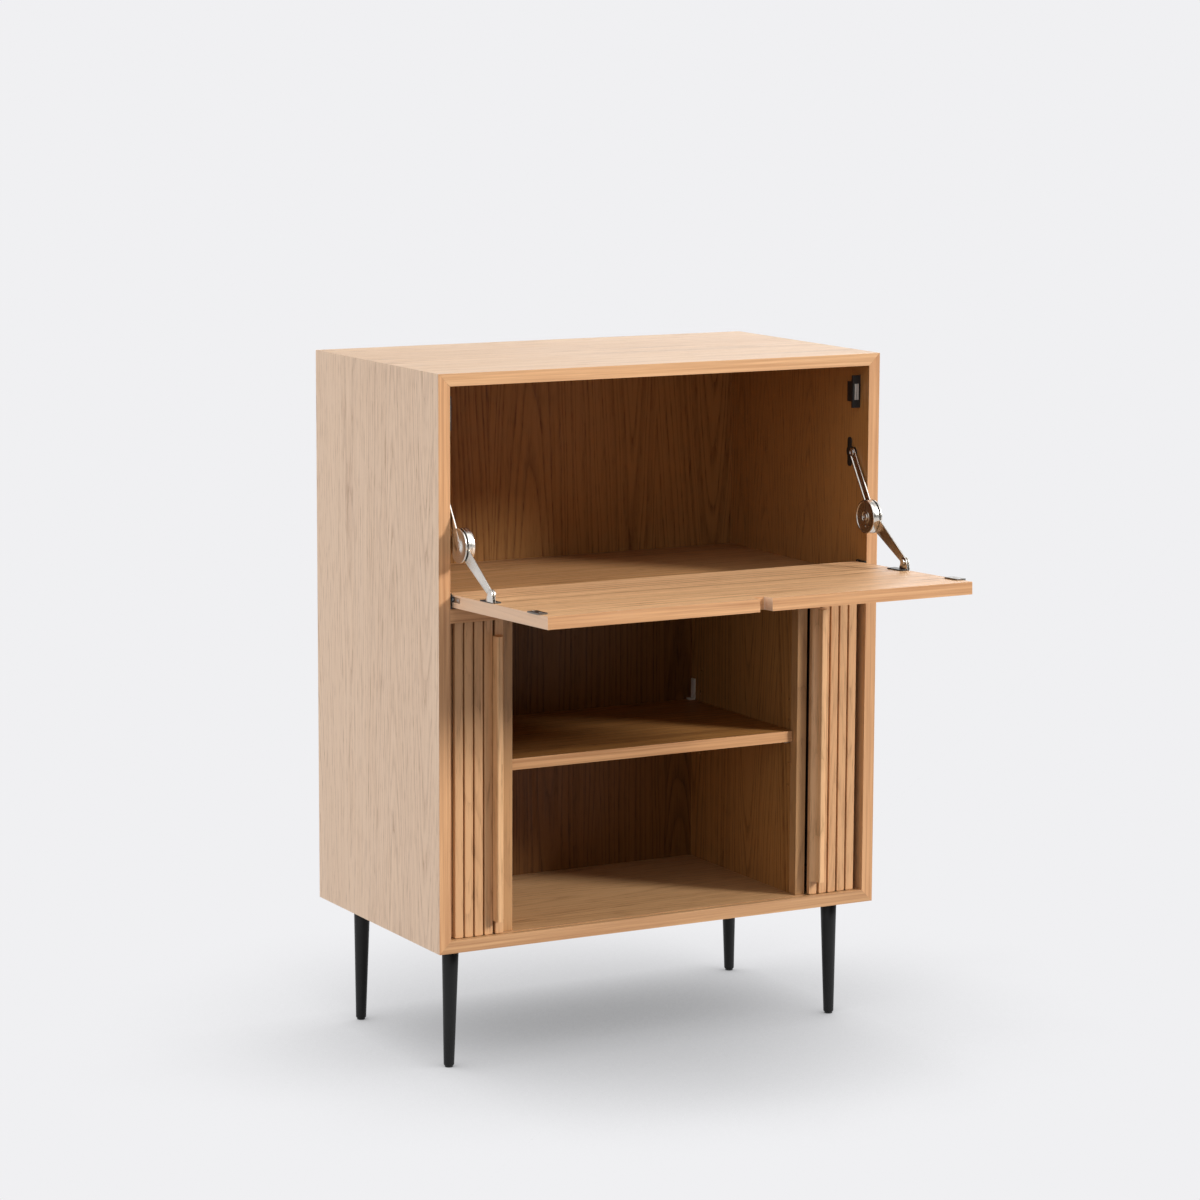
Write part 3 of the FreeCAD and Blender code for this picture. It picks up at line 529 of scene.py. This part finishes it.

# Boards: which way the grain runs and across (X, Y, Z as 0, 1, 2), and where the solid edge band shows.
# The inner faces are toned for the deeper shade of the photograph's inside.
# Painted shade: whole inner boards and the back panels' front faces are darker for the shade inside; the
# lower back is darker still, for the shade under the flap and shelf
shadedInnerOak = {"light": oakLook["innerLight"], "dark": oakLook["innerDark"], "ringDepth": 0.42,
            "ringSpacing": 0.0095, "specular": 0.2}
backOak = {"ringDepth": 0.42, "ringSpacing": 0.0095, "leafWidth": 0.16, "inner": ("Y", -1), "specular": 0.2}
lowerBackShadedOak = {**backOak, "innerLight": (0.21, 0.088, 0.024), "innerDark": (0.06, 0.02, 0.005)}
figured = {"ringDepth": 0.34, "ringSpacing": 0.0105}
deckLevel = 0.74
facingX, facingY, facingZ = (2, 1, 0), (2, 0, 1), (0, 1, 2)
boards = {
    # Painted sheen: the left side is toned paler and pinker for the cool sheen on that side
    "side_left": {"axes": facingX, "seed": 1.0, "band": "front",
                  "changes": {"light": (0.735, 0.535, 0.385), "dark": (0.34, 0.19, 0.11),
                              "dashSize": (26.0, 170.0), "inner": ("X", 1), "innerAbove": deckLevel}},
    "side_right": {"axes": facingX, "seed": 4.0, "band": "front",
                   "changes": {"inner": ("X", -1), "innerAbove": deckLevel}},
    "top_panel": {"axes": facingZ, "seed": 7.0, "band": "front",
                  "changes": {**figured, "light": (0.63, 0.405, 0.23), "bandLight": (0.78, 0.46, 0.235),
                              "bandDark": (0.50, 0.25, 0.11), "inner": ("Z", -1)}},
    "bottom_panel": {"axes": facingZ, "seed": 9.0, "band": "front",
                     "changes": {**figured, "bandLight": (0.62, 0.345, 0.165), "bandDark": (0.34, 0.15, 0.06),
                                 "inner": ("Z", 1), "innerLight": (0.55, 0.32, 0.15),
                                 "innerDark": (0.22, 0.10, 0.035)}},
    # Painted shade: the deck is toned darker for the shade under the top
    "deck": {"axes": facingZ, "seed": 12.0, "band": "front",
             "changes": {**figured, "light": (0.53, 0.285, 0.122), "dark": (0.16, 0.062, 0.018),
                         "ringDepth": 0.44, "specular": 0.35}},
    "back_panel": {"axes": facingY, "seed": 15.0, "soft": 0, "changes": backOak},
    "lower_back_panel": {"axes": facingY, "seed": 18.0, "soft": 0, "changes": lowerBackShadedOak},
    "partition_left": {"axes": facingX, "seed": 21.0, "changes": shadedInnerOak},
    "partition_right": {"axes": facingX, "seed": 24.0, "changes": shadedInnerOak},
    "shelf": {"axes": facingZ, "seed": 27.0, "band": "front", "changes": shadedInnerOak},
    "flap": {"axes": facingZ, "seed": 31.0, "band": "edges", "soft": 0.9 * mm,
             "changes": {**figured, "leafWidth": 0.14, "light": (0.80, 0.475, 0.245), "ringDepth": 0.46,
                         "specular": 0.4}},
}
solidStrips = {"leafWidth": 0.0173, "light": (0.65, 0.36, 0.172), "leafDepth": 0.26, "ringDepth": 0.24,
               "poreDepth": 0.24, "dashDepth": 0.32, "fibreDepth": 0.22}
# Painted shade: the partition lipping is toned darker for the shade beside the handles
shadedLipTone = {**solidStrips, "light": (0.49, 0.26, 0.108), "dark": (0.22, 0.10, 0.035)}
# Painted light: the handles are toned lighter than the other strips for the light on their faces
litHandleTone = {**solidStrips, "light": (0.82, 0.475, 0.235), "dark": (0.36, 0.18, 0.07)}
# Strips of solid oak, one on each side; the right one's seed is one more than the left one's
solids = {
    "partition_lipping": {"axes": facingX, "seed": 41.0, "changes": shadedLipTone},
    "lead_rail": {"axes": facingY, "seed": 43.0, "changes": solidStrips},
    "front_slats": {"axes": facingY, "seed": 45.0, "changes": solidStrips},
    "pocket_slats": {"axes": facingX, "seed": 47.0, "changes": solidStrips},
    "handle": {"axes": facingY, "seed": 49.0, "changes": litHandleTone},
}
softEdges = {"board": 0.4 * mm, "slat": 0.9 * mm, "weld": 0.01 * mm, "segments": 2, "angle": 40.0}
plainNodes = {
    "beech": ["dowels"],
    "blackSteel": ["leg_plates", "hinge_plate_left", "hinge_plate_right"],
    "groundSteel": ["catch_poles"],
    "zinc": ["back_screws", "shelf_pins", "hinge_leaf_left", "hinge_leaf_right", "hinge_plate_screws",
             "hinge_leaf_screws", "stay_bracket_screws", "flap_bracket_screws", "strike_screws"],
    "darkNickel": ["strike_plates"],
    "nickel": ["stay_upper_arm_left", "stay_upper_arm_right", "stay_lower_arm_left", "stay_lower_arm_right",
               "stay_drum_left", "stay_drum_right", "stay_rivet_left", "stay_rivet_right",
               "flap_bracket_left", "flap_bracket_right", "stay_bracket_left", "stay_bracket_right"],
    "blackPlastic": ["catch_body_left", "catch_body_right", "leg_glides"],
    "blackLacquer": ["leg_front_left", "leg_front_right", "leg_rear_left", "leg_rear_right"],
    "palePlastic": ["shelf_clips"],
}


def paint(node, material):
    obj = frame["nodes"][node]
    obj.data.materials.clear()
    obj.data.materials.append(material)


def soften(node, width):
    obj = frame["nodes"][node]
    weld = obj.modifiers.new("joinCorners", "WELD")
    weld.merge_threshold = softEdges["weld"]
    bevel = obj.modifiers.new("softEdges", "BEVEL")
    bevel.width = width
    bevel.segments = softEdges["segments"]
    bevel.limit_method = "ANGLE"
    bevel.angle_limit = math.radians(softEdges["angle"])


for node, look in boards.items():
    paint(node, oakMaterial("oak_" + node, look["axes"], look["seed"], look.get("band"), look.get("changes")))
    if look.get("soft", True):
        soften(node, look.get("soft", softEdges["board"]))
for name, look in solids.items():
    for index, side in enumerate(sides):
        node = name + "_" + side
        paint(node, oakMaterial("oak_" + node, look["axes"], look["seed"] + index, None, look["changes"]))
        soften(node, softEdges["slat"])
for finish, names in plainNodes.items():
    for node in names:
        paint(node, finishes[finish])
canvasAcross = {"front": (0, 2), "pocket": (1, 2)}
for run, axes in canvasAcross.items():
    canvas = canvasMaterial("canvas_" + run, canvasLook, axes)
    for side in sides:
        paint(run + "_canvas_" + side, canvas)
print("boards and strips finished")


# Modelling helpers
shapeLook = {
    "weld": 0.002 * mm,
    "looseWeld": 0.01 * mm,
    "barSteps": 48,
    "flatAngle": math.radians(2),
    "rimAngle": math.radians(60),
    "rimSteps": 2,
    "cornerSteps": 5,
    "faceOn": 0.99,  # how squarely a bar's face has to look along X to count as a flat one
    "still": 1e-9,  # up to here an edge doesn't run along the push
}


def finishPiece(bm, name, body, finish, nodes=(), mirror=False, sharp=32):
    if mirror:
        bmesh.ops.scale(bm, vec=(-1, 1, 1), verts=bm.verts)
    bmesh.ops.remove_doubles(bm, verts=bm.verts, dist=shapeLook["weld"])
    bmesh.ops.recalc_face_normals(bm, faces=bm.faces)
    mesh = bpy.data.meshes.new(name)
    bm.to_mesh(mesh)
    bm.free()
    mesh.shade_smooth()
    mesh.set_sharp_from_angle(angle=math.radians(sharp))
    mesh.materials.append(finishes[finish])
    piece = bpy.data.objects.new(name, mesh)
    bpy.context.scene.collection.objects.link(piece)
    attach(piece, body)
    if nodes:
        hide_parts(*nodes)
    return piece


def turnProfile(bm, profile, centre, axis, steps):
    # Spins (radius, height) points round an axis; the heights run along it from the centre
    axis = Vector(axis).normalized()
    aside = axis.orthogonal().normalized()
    verts = [bm.verts.new(Vector(centre) + aside * radius + axis * height) for radius, height in profile]
    edges = [bm.edges.new(pair) for pair in zip(verts, verts[1:])]
    bmesh.ops.spin(bm, geom=verts + edges, cent=centre, axis=axis, angle=2 * math.pi, steps=steps,
                   use_merge=True)


def roundEdges(part, edges, offset, steps):
    bmesh.ops.bevel(part, geom=edges, offset=offset, affect="EDGES", segments=steps,
                    profile=0.5, material=-1)


def roundBar(bm, start, end, startRadius, endRadius, low, high, edge, rib=0.0, dips=(0.0, 0.0), cut=None):
    # A flat bar with round ends, low to high along X. A dip presses a trough into one of its two faces,
    # and a cut is a point and a way beyond which the bar is cut off.
    part = bmesh.new()
    for place, radius in ((start, startRadius), (end, endRadius)):
        made = bmesh.ops.create_cone(part, cap_ends=True, segments=shapeLook["barSteps"], radius1=radius,
                                     radius2=radius, depth=high - low)
        bmesh.ops.rotate(part, verts=made["verts"], matrix=Matrix.Rotation(math.pi / 2, 3, "Y"))
        bmesh.ops.translate(part, verts=made["verts"], vec=((low + high) / 2, place[0], place[1]))
    hull = bmesh.ops.convex_hull(part, input=part.verts)
    spare = [item for item in hull["geom_interior"] + hull["geom_unused"] if item.is_valid]
    spareVerts = [item for item in spare if isinstance(item, bmesh.types.BMVert)]
    bmesh.ops.delete(part, geom=spareVerts, context="VERTS")
    spareFaces = [item for item in spare if item.is_valid and isinstance(item, bmesh.types.BMFace)]
    bmesh.ops.delete(part, geom=spareFaces, context="FACES_ONLY")
    bmesh.ops.dissolve_limit(part, angle_limit=shapeLook["flatAngle"], verts=part.verts, edges=part.edges)
    if cut:
        everything = part.verts[:] + part.edges[:] + part.faces[:]
        bmesh.ops.bisect_plane(part, geom=everything, plane_co=cut[0], plane_no=cut[1], clear_outer=True)
        bmesh.ops.holes_fill(part, edges=part.edges, sides=0)
    whole = [item for item in part.edges if len(item.link_faces) == 2]
    rims = [item for item in whole if item.calc_face_angle() > shapeLook["rimAngle"]]
    roundEdges(part, rims, edge, shapeLook["rimSteps"])
    for sign, dip in zip((-1, 1), dips):
        if dip:
            flats = [item for item in part.faces if item.normal.x * sign > shapeLook["faceOn"]]
            face = max(flats, key=bmesh.types.BMFace.calc_area)
            bmesh.ops.inset_region(part, faces=[face], thickness=rib)
            bmesh.ops.inset_region(part, faces=[face], thickness=dip, depth=-dip)
    joinInto(bm, part)


def joinInto(bm, part):
    mesh = bpy.data.meshes.new("passing")
    part.to_mesh(mesh)
    part.free()
    bm.from_mesh(mesh)
    bpy.data.meshes.remove(mesh)


def plate(bm, corners, push, corner, edge):
    # A flat plate from its four corners, pushed to its thickness, with rounded corners and soft rims
    part = bmesh.new()
    face = part.faces.new([part.verts.new(spot) for spot in corners])
    grown = bmesh.ops.extrude_face_region(part, geom=[face])
    moved = [item for item in grown["geom"] if isinstance(item, bmesh.types.BMVert)]
    bmesh.ops.translate(part, verts=moved, vec=push)
    bmesh.ops.recalc_face_normals(part, faces=part.faces)
    spans = {item: item.verts[0].co - item.verts[1].co for item in part.edges}
    pushed = [item for item, span in spans.items() if abs(span.dot(push)) > shapeLook["still"]]
    roundEdges(part, pushed, corner, shapeLook["cornerSteps"])
    rims = [item for item in part.edges if item.calc_face_angle() > shapeLook["rimAngle"]]
    roundEdges(part, rims, edge, shapeLook["rimSteps"])
    joinInto(bm, part)


def lowCorner(corners):
    return Vector([min(corner[axis] for corner in corners) for axis in range(3)])


def highCorner(corners):
    return Vector([max(corner[axis] for corner in corners) for axis in range(3)])


def looseParts(node):
    # The separate solids of a CAD node, each as a list of its corners, always in the same order
    bm = bmesh.new()
    bm.from_mesh(frame["nodes"][node].data)
    bmesh.ops.remove_doubles(bm, verts=bm.verts, dist=shapeLook["looseWeld"])
    left = set(bm.verts)
    parts = []
    while left:
        waiting = [left.pop()]
        part = []
        while waiting:
            vert = waiting.pop()
            part.append(vert.co.copy())
            for link in vert.link_edges:
                other = link.other_vert(vert)
                if other in left:
                    left.remove(other)
                    waiting.append(other)
        parts.append(part)
    bm.free()
    return sorted(parts, key=lambda part: tuple(lowCorner(part)))


# Screws: a domed head with a cross recess, and a threaded shank
screwLook = {
    "head": 3.5 * mm, "dome": 0.35 * mm, "rim": 0.5 * mm, "shank": 1.75 * mm, "core": 1.25 * mm,
    "slotLength": 1.9 * mm, "slotWidth": 0.45 * mm, "slotDepth": 1.1 * mm, "slotTaper": 0.6,
    "pitch": 1.4 * mm, "rise": 0.4, "neck": 3, "point": 2.0 * mm, "tip": 0.2,
    # The head's rings as shares: of its radius, and of the dome or the rim
    "domeShares": [(0.74, 0.75), (0.93, 0.25)], "rimShares": [(1.0, 0.4), (0.96, 1.0)],
    "headReach": 0.02 * mm, "firstTurn": 17.0, "nextTurn": 47.0,
}
joints = {joint["name"]: joint for joint in frame["record"]["behaviour"]["joints"]}
flapTilt = math.radians(joints["flap_hinge"]["range_deg"][1])  # from open to upright
flapUp = Vector((0, math.cos(flapTilt), math.sin(flapTilt)))  # square to the open flap's upper face
screwGroups = {
    "hinge_plate_screws": {"body": "cabinet", "outward": "inner"},
    "stay_bracket_screws": {"body": "cabinet", "outward": "inner"},
    "hinge_leaf_screws": {"body": "flap", "outward": "outer"},
    "flap_bracket_screws": {"body": "flap", "outward": "up"},
    "strike_screws": {"body": "flap", "outward": "up"},
    "back_screws": {"body": "cabinet", "outward": "back"},
}


def crossLoop(bm, length, width, height):
    corners = [(length, -width), (length, 0), (length, width), (width, width)]
    verts = []
    for quarter in range(4):
        turn = Matrix.Rotation(quarter * math.pi / 2, 2)
        for x, y in corners:
            spot = turn @ Vector((x, y))
            verts.append(bm.verts.new((spot.x, spot.y, height)))
    return [bm.edges.new((verts[index - 1], verts[index])) for index in range(len(verts))], verts


def circleLoop(bm, angles, radius, height):
    verts = [bm.verts.new((radius * math.cos(angle), radius * math.sin(angle), height)) for angle in angles]
    return [bm.edges.new((verts[index - 1], verts[index])) for index in range(len(verts))]


def screwMesh(look, length):
    bm = bmesh.new()
    taper = look["slotTaper"]
    floor, floorVerts = crossLoop(bm, look["slotLength"] * taper, look["slotWidth"] * taper,
                                  look["dome"] - look["slotDepth"])
    bm.faces.new(floorVerts)
    mouth, mouthVerts = crossLoop(bm, look["slotLength"], look["slotWidth"], look["dome"])
    angles = [math.atan2(vert.co.y, vert.co.x) for vert in mouthVerts]
    loops = [floor, mouth]
    for width, share in look["domeShares"]:
        loops.append(circleLoop(bm, angles, look["head"] * width, look["dome"] * share))
    for width, share in look["rimShares"]:
        loops.append(circleLoop(bm, angles, look["head"] * width, -look["rim"] * share))
    depth = look["rim"] * look["neck"]
    loops.append(circleLoop(bm, angles, look["shank"], -depth))
    while depth + look["pitch"] < length - look["point"]:
        loops.append(circleLoop(bm, angles, look["core"], -depth - look["pitch"] * look["rise"]))
        loops.append(circleLoop(bm, angles, look["shank"], -depth - look["pitch"]))
        depth += look["pitch"]
    loops.append(circleLoop(bm, angles, look["core"] * look["tip"], -length))
    for first, second in zip(loops, loops[1:]):
        bmesh.ops.bridge_loops(bm, edges=first + second)
    bm.faces.new([vert for edge in loops[-1] for vert in edge.verts[:1]])
    mesh = bpy.data.meshes.new("screw")
    bm.to_mesh(mesh)
    bm.free()
    return mesh


def driveScrews(look):
    # Each CAD screw's place, way and length come from its own solid
    for node, group in screwGroups.items():
        bm = bmesh.new()
        for index, part in enumerate(looseParts(node)):
            side = 1 if sum(part, Vector()).x > 0 else -1
            outward = {"inner": Vector((-side, 0, 0)), "outer": Vector((side, 0, 0)),
                       "up": flapUp, "back": Vector((0, 1, 0))}[group["outward"]]
            reach = [corner.dot(outward) for corner in part]
            head = [corner for corner, far in zip(part, reach) if far > max(reach) - look["headReach"]]
            mesh = screwMesh(look, max(reach) - min(reach))
            turned = outward.to_track_quat("Z", "Y").to_matrix().to_4x4()
            spun = Matrix.Rotation(math.radians(look["firstTurn"] + look["nextTurn"] * index), 4, "Z")
            sunk = Matrix.Translation((0, 0, -look["dome"]))
            place = Matrix.Translation((lowCorner(head) + highCorner(head)) / 2)
            mesh.transform(place @ turned @ sunk @ spun)
            bm.from_mesh(mesh)
            bpy.data.meshes.remove(mesh)
        finishPiece(bm, node + "_heads", group["body"], "zinc", [node])


# Legs: turned, tapering to a rounded foot, leaning outwards a little
legLook = {
    "top": 13.5 * mm, "foot": 8.5 * mm, "footRounding": 3.2 * mm, "lean": 3.0 * mm, "topRounding": 0.8 * mm,
    "footSteps": 6, "taperShares": (0.15, 0.35, 0.6, 0.8), "steps": 64, "sharp": 50,
}


def turnLeg(look, name, side):
    low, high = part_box(name)
    topX = (high[0] - look["top"]) if side < 0 else (low[0] + look["top"])
    height = high[2] - low[2]
    rounding = look["footRounding"]
    inner = look["foot"] - rounding
    profile = [(0.0, 0.0), (inner, 0.0)]
    for step in range(1, look["footSteps"] + 1):
        angle = math.pi / 2 * step / look["footSteps"]
        profile.append((inner + rounding * math.sin(angle), rounding * (1 - math.cos(angle))))
    for share in look["taperShares"]:
        radius = look["foot"] + (look["top"] - look["foot"]) * share
        profile.append((radius, rounding + (height - rounding) * share))
    profile.append((look["top"], height - look["topRounding"]))
    profile.append((look["top"] - look["topRounding"], height))
    profile.append((0.0, height))
    bm = bmesh.new()
    turnProfile(bm, profile, (0, 0, 0), (0, 0, 1), look["steps"])
    for vert in bm.verts:
        vert.co.x += side * look["lean"] * (1 - vert.co.z / height)
    bmesh.ops.translate(bm, verts=bm.verts, vec=(topX, (low[1] + high[1]) / 2, low[2]))
    finishPiece(bm, name + "_turned", "cabinet", "blackLacquer", [name], sharp=look["sharp"])


# Folding stays: a stamped upper arm with the hub's outer disc, a friction drum and a ribbed lower arm
stayLook = {
    "armHalf": 8.0 * mm, "rib": 1.5 * mm, "upperDip": 1.1 * mm, "lowerDip": 0.5 * mm, "edge": 0.35 * mm,
    "armInset": 0.12 * mm, "lowerHub": 13.5 * mm, "lowerEnd": 6.2 * mm,
    # Turned shapes: (radius, height) in mm, the height from the face that lies against the next layer
    "disc": [(0, 0), (27.1, 0), (27.5, 0.4), (27.5, 2.1), (27.1, 2.5), (24.4, 2.5), (23.6, 2.1), (7.4, 2.1),
             (6.9, 2.4), (4.6, 2.4), (4.1, 1.8), (0, 1.8)],
    "drum": [(0, 0), (27.1, 0), (27.5, 0.4), (27.5, 4.6), (27.15, 4.9), (27.15, 5.3), (27.5, 5.6),
             (27.5, 9.4), (27.2, 10.4), (26.4, 11.0), (24.9, 11.0), (24.3, 10.2), (11.2, 10.0), (10.6, 10.5),
             (9.0, 10.5), (8.5, 10.0), (0, 10.0)],
    "rivet": [(0, -1.9), (3.9, -1.9), (3.9, 10.0), (6.0, 10.0), (6.0, 10.6), (5.5, 11.2), (4.6, 11.5),
              (3.0, 11.5), (2.4, 11.0), (0, 10.8)],
    "stopPin": [(0, 9.8), (1.5, 9.8), (1.5, 10.3), (1.0, 10.6), (0, 10.6)],
    "stopPinDrop": 15.5 * mm,
    "discSteps": 72, "rivetSteps": 40, "pinSteps": 24,
}


def millimetres(profile):
    return [(radius * mm, height * mm) for radius, height in profile]


wallPivot = Vector(joints["stay_upper_pivot_right"]["pos_m"])
footPivot = Vector(joints["stay_lower_pivot_right"]["pos_m"])
flapPivot = Vector(joints["flap_hinge"]["pos_m"])
rivetLow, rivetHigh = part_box("stay_rivet_right")
hub = Vector((0, (rivetLow[1] + rivetHigh[1]) / 2, (rivetLow[2] + rivetHigh[2]) / 2))
upperLow, upperHigh = (corner[0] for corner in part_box("stay_upper_arm_right"))
lowerLow, lowerHigh = (corner[0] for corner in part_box("stay_lower_arm_right"))


def buildStay(look, side, sign):
    mirror = sign < 0
    bm = bmesh.new()
    roundBar(bm, wallPivot.yz, hub.yz, look["armHalf"], look["armHalf"], upperLow + look["armInset"],
             upperHigh - look["armInset"], look["edge"], look["rib"], (look["upperDip"], 0.0))
    turnProfile(bm, millimetres(look["disc"]), (upperLow, hub.y, hub.z), (1, 0, 0), look["discSteps"])
    finishPiece(bm, "stay_upper_pressed_" + side, "stay_upper_" + side, "nickel",
                ["stay_upper_arm_" + side], mirror)
    bm = bmesh.new()
    roundBar(bm, footPivot.yz, hub.yz, look["lowerEnd"], look["lowerHub"], lowerLow, lowerHigh, look["edge"],
             look["rib"], (look["lowerDip"], look["lowerDip"]))
    finishPiece(bm, "stay_lower_pressed_" + side, "stay_lower_" + side, "nickel",
                ["stay_lower_arm_" + side], mirror)
    bm = bmesh.new()
    turnProfile(bm, millimetres(look["drum"]), (lowerLow, hub.y, hub.z), (-1, 0, 0), look["discSteps"])
    finishPiece(bm, "stay_drum_turned_" + side, "stay_lower_" + side, "nickel",
                ["stay_drum_" + side], mirror)
    bm = bmesh.new()
    turnProfile(bm, millimetres(look["rivet"]), (lowerLow, hub.y, hub.z), (-1, 0, 0), look["rivetSteps"])
    stopPlace = (lowerLow, hub.y, hub.z - look["stopPinDrop"])
    turnProfile(bm, millimetres(look["stopPin"]), stopPlace, (-1, 0, 0), look["pinSteps"])
    finishPiece(bm, "stay_rivet_turned_" + side, "stay_lower_" + side, "zinc",
                ["stay_rivet_" + side], mirror)


# Wall brackets: a black plate with a lobe, and the bright headed pin that the upper arm turns on
wallBracketLook = {
    "width": 11.0 * mm, "lobe": 9.0 * mm, "lobeThin": 0.25 * mm, "edge": 0.3 * mm, "offset": 12.5 * mm,
    "armGap": 0.4 * mm, "pinSteps": 40,
    "pin": [(0, -2.6), (3.45, -2.6), (3.45, 0.2), (6.0, 0.2), (6.0, 0.9), (5.6, 1.4), (4.4, 1.7), (3.4, 1.7),
            (2.9, 1.1), (1.4, 1.0), (0, 1.0)],
}


def buildWallBracket(look, side, sign):
    low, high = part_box("stay_bracket_right")
    thick = high[0] - upperHigh - look["armGap"]
    middleY = wallPivot.y + look["offset"]
    half = look["width"] / 2
    bm = bmesh.new()
    roundBar(bm, (middleY, low[2] + half), (middleY, high[2] - half), half, half, high[0] - thick, high[0],
             look["edge"])
    roundBar(bm, (wallPivot.y, wallPivot.z), (middleY, wallPivot.z), look["lobe"], look["lobe"],
             high[0] - thick + look["lobeThin"], high[0], look["edge"])
    finishPiece(bm, "wall_bracket_plate_" + side, "cabinet", "blackSteel",
                ["stay_bracket_" + side], sign < 0)
    bm = bmesh.new()
    pinPlace = (upperLow, wallPivot.y, wallPivot.z)
    turnProfile(bm, millimetres(look["pin"]), pinPlace, (-1, 0, 0), look["pinSteps"])
    finishPiece(bm, "wall_bracket_pin_" + side, "cabinet", "zinc", (), sign < 0)


# Flap brackets: a black base with two bright ears, and a bright pin through the lower arm's end
flapBracketLook = {
    "pivotHeight": 13.2 * mm, "length": 43.0 * mm, "overhang": 9.0 * mm, "width": 16.0 * mm,
    "thick": 2.0 * mm, "corner": 2.2 * mm, "edge": 0.3 * mm, "pinSteps": 32, "pinGap": 0.2 * mm,
    "ear": 8.0 * mm, "earFoot": 12.0 * mm, "earThick": 1.4 * mm, "earGap": 0.3 * mm, "earDrop": 1.5 * mm,
    "pin": [(0, 0), (2.9, 0), (3.45, 0.5), (3.45, 7.6), (5.4, 7.6), (5.4, 8.5), (4.8, 9.1), (0, 9.1)],
}


def buildFlapBracket(look, side, sign):
    # Modelled with the flap upright, and then turned down with it
    turn = Matrix.Translation(flapPivot) @ Matrix.Rotation(flapTilt, 4, "X") @ Matrix.Translation(-flapPivot)
    closed = turn.inverted() @ footPivot
    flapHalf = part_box("flap")[1][0]
    face = closed.y - look["pivotHeight"]
    far = closed.z + look["overhang"]
    near = far - look["length"]
    inmost = flapHalf - look["width"]
    bm = bmesh.new()
    corners = [(inmost, face, far), (flapHalf, face, far), (flapHalf, face, near), (inmost, face, near)]
    plate(bm, corners, Vector((0, look["thick"], 0)), look["corner"], look["edge"])
    bmesh.ops.transform(bm, matrix=turn, verts=bm.verts)
    finishPiece(bm, "flap_bracket_base_" + side, "flap", "blackSteel",
                ["flap_bracket_" + side], sign < 0)
    bm = bmesh.new()
    inner = lowerLow - look["earGap"]
    outer = lowerHigh + look["earGap"]
    cut = (Vector((0, face + look["thick"] / 2, 0)), Vector((0, -1, 0)))
    for low, high in ((inner - look["earThick"], inner), (outer, outer + look["earThick"])):
        roundBar(bm, (closed.y, closed.z), (face, closed.z - look["earDrop"]), look["ear"], look["earFoot"],
                 low, high, look["edge"], cut=cut)
    pinPlace = (outer + look["earThick"] + look["pinGap"], closed.y, closed.z)
    turnProfile(bm, millimetres(look["pin"]), pinPlace, (-1, 0, 0), look["pinSteps"])
    bmesh.ops.transform(bm, matrix=turn, verts=bm.verts)
    finishPiece(bm, "flap_bracket_ears_" + side, "flap", "nickel", (), sign < 0)


driveScrews(screwLook)
print("screws driven")
for end in ("front", "rear"):
    for side, sign in sides.items():
        turnLeg(legLook, "leg_" + end + "_" + side, sign)
print("legs turned")
for side, sign in sides.items():
    buildStay(stayLook, side, sign)
    buildWallBracket(wallBracketLook, side, sign)
    buildFlapBracket(flapBracketLook, side, sign)
print("stays and brackets built")
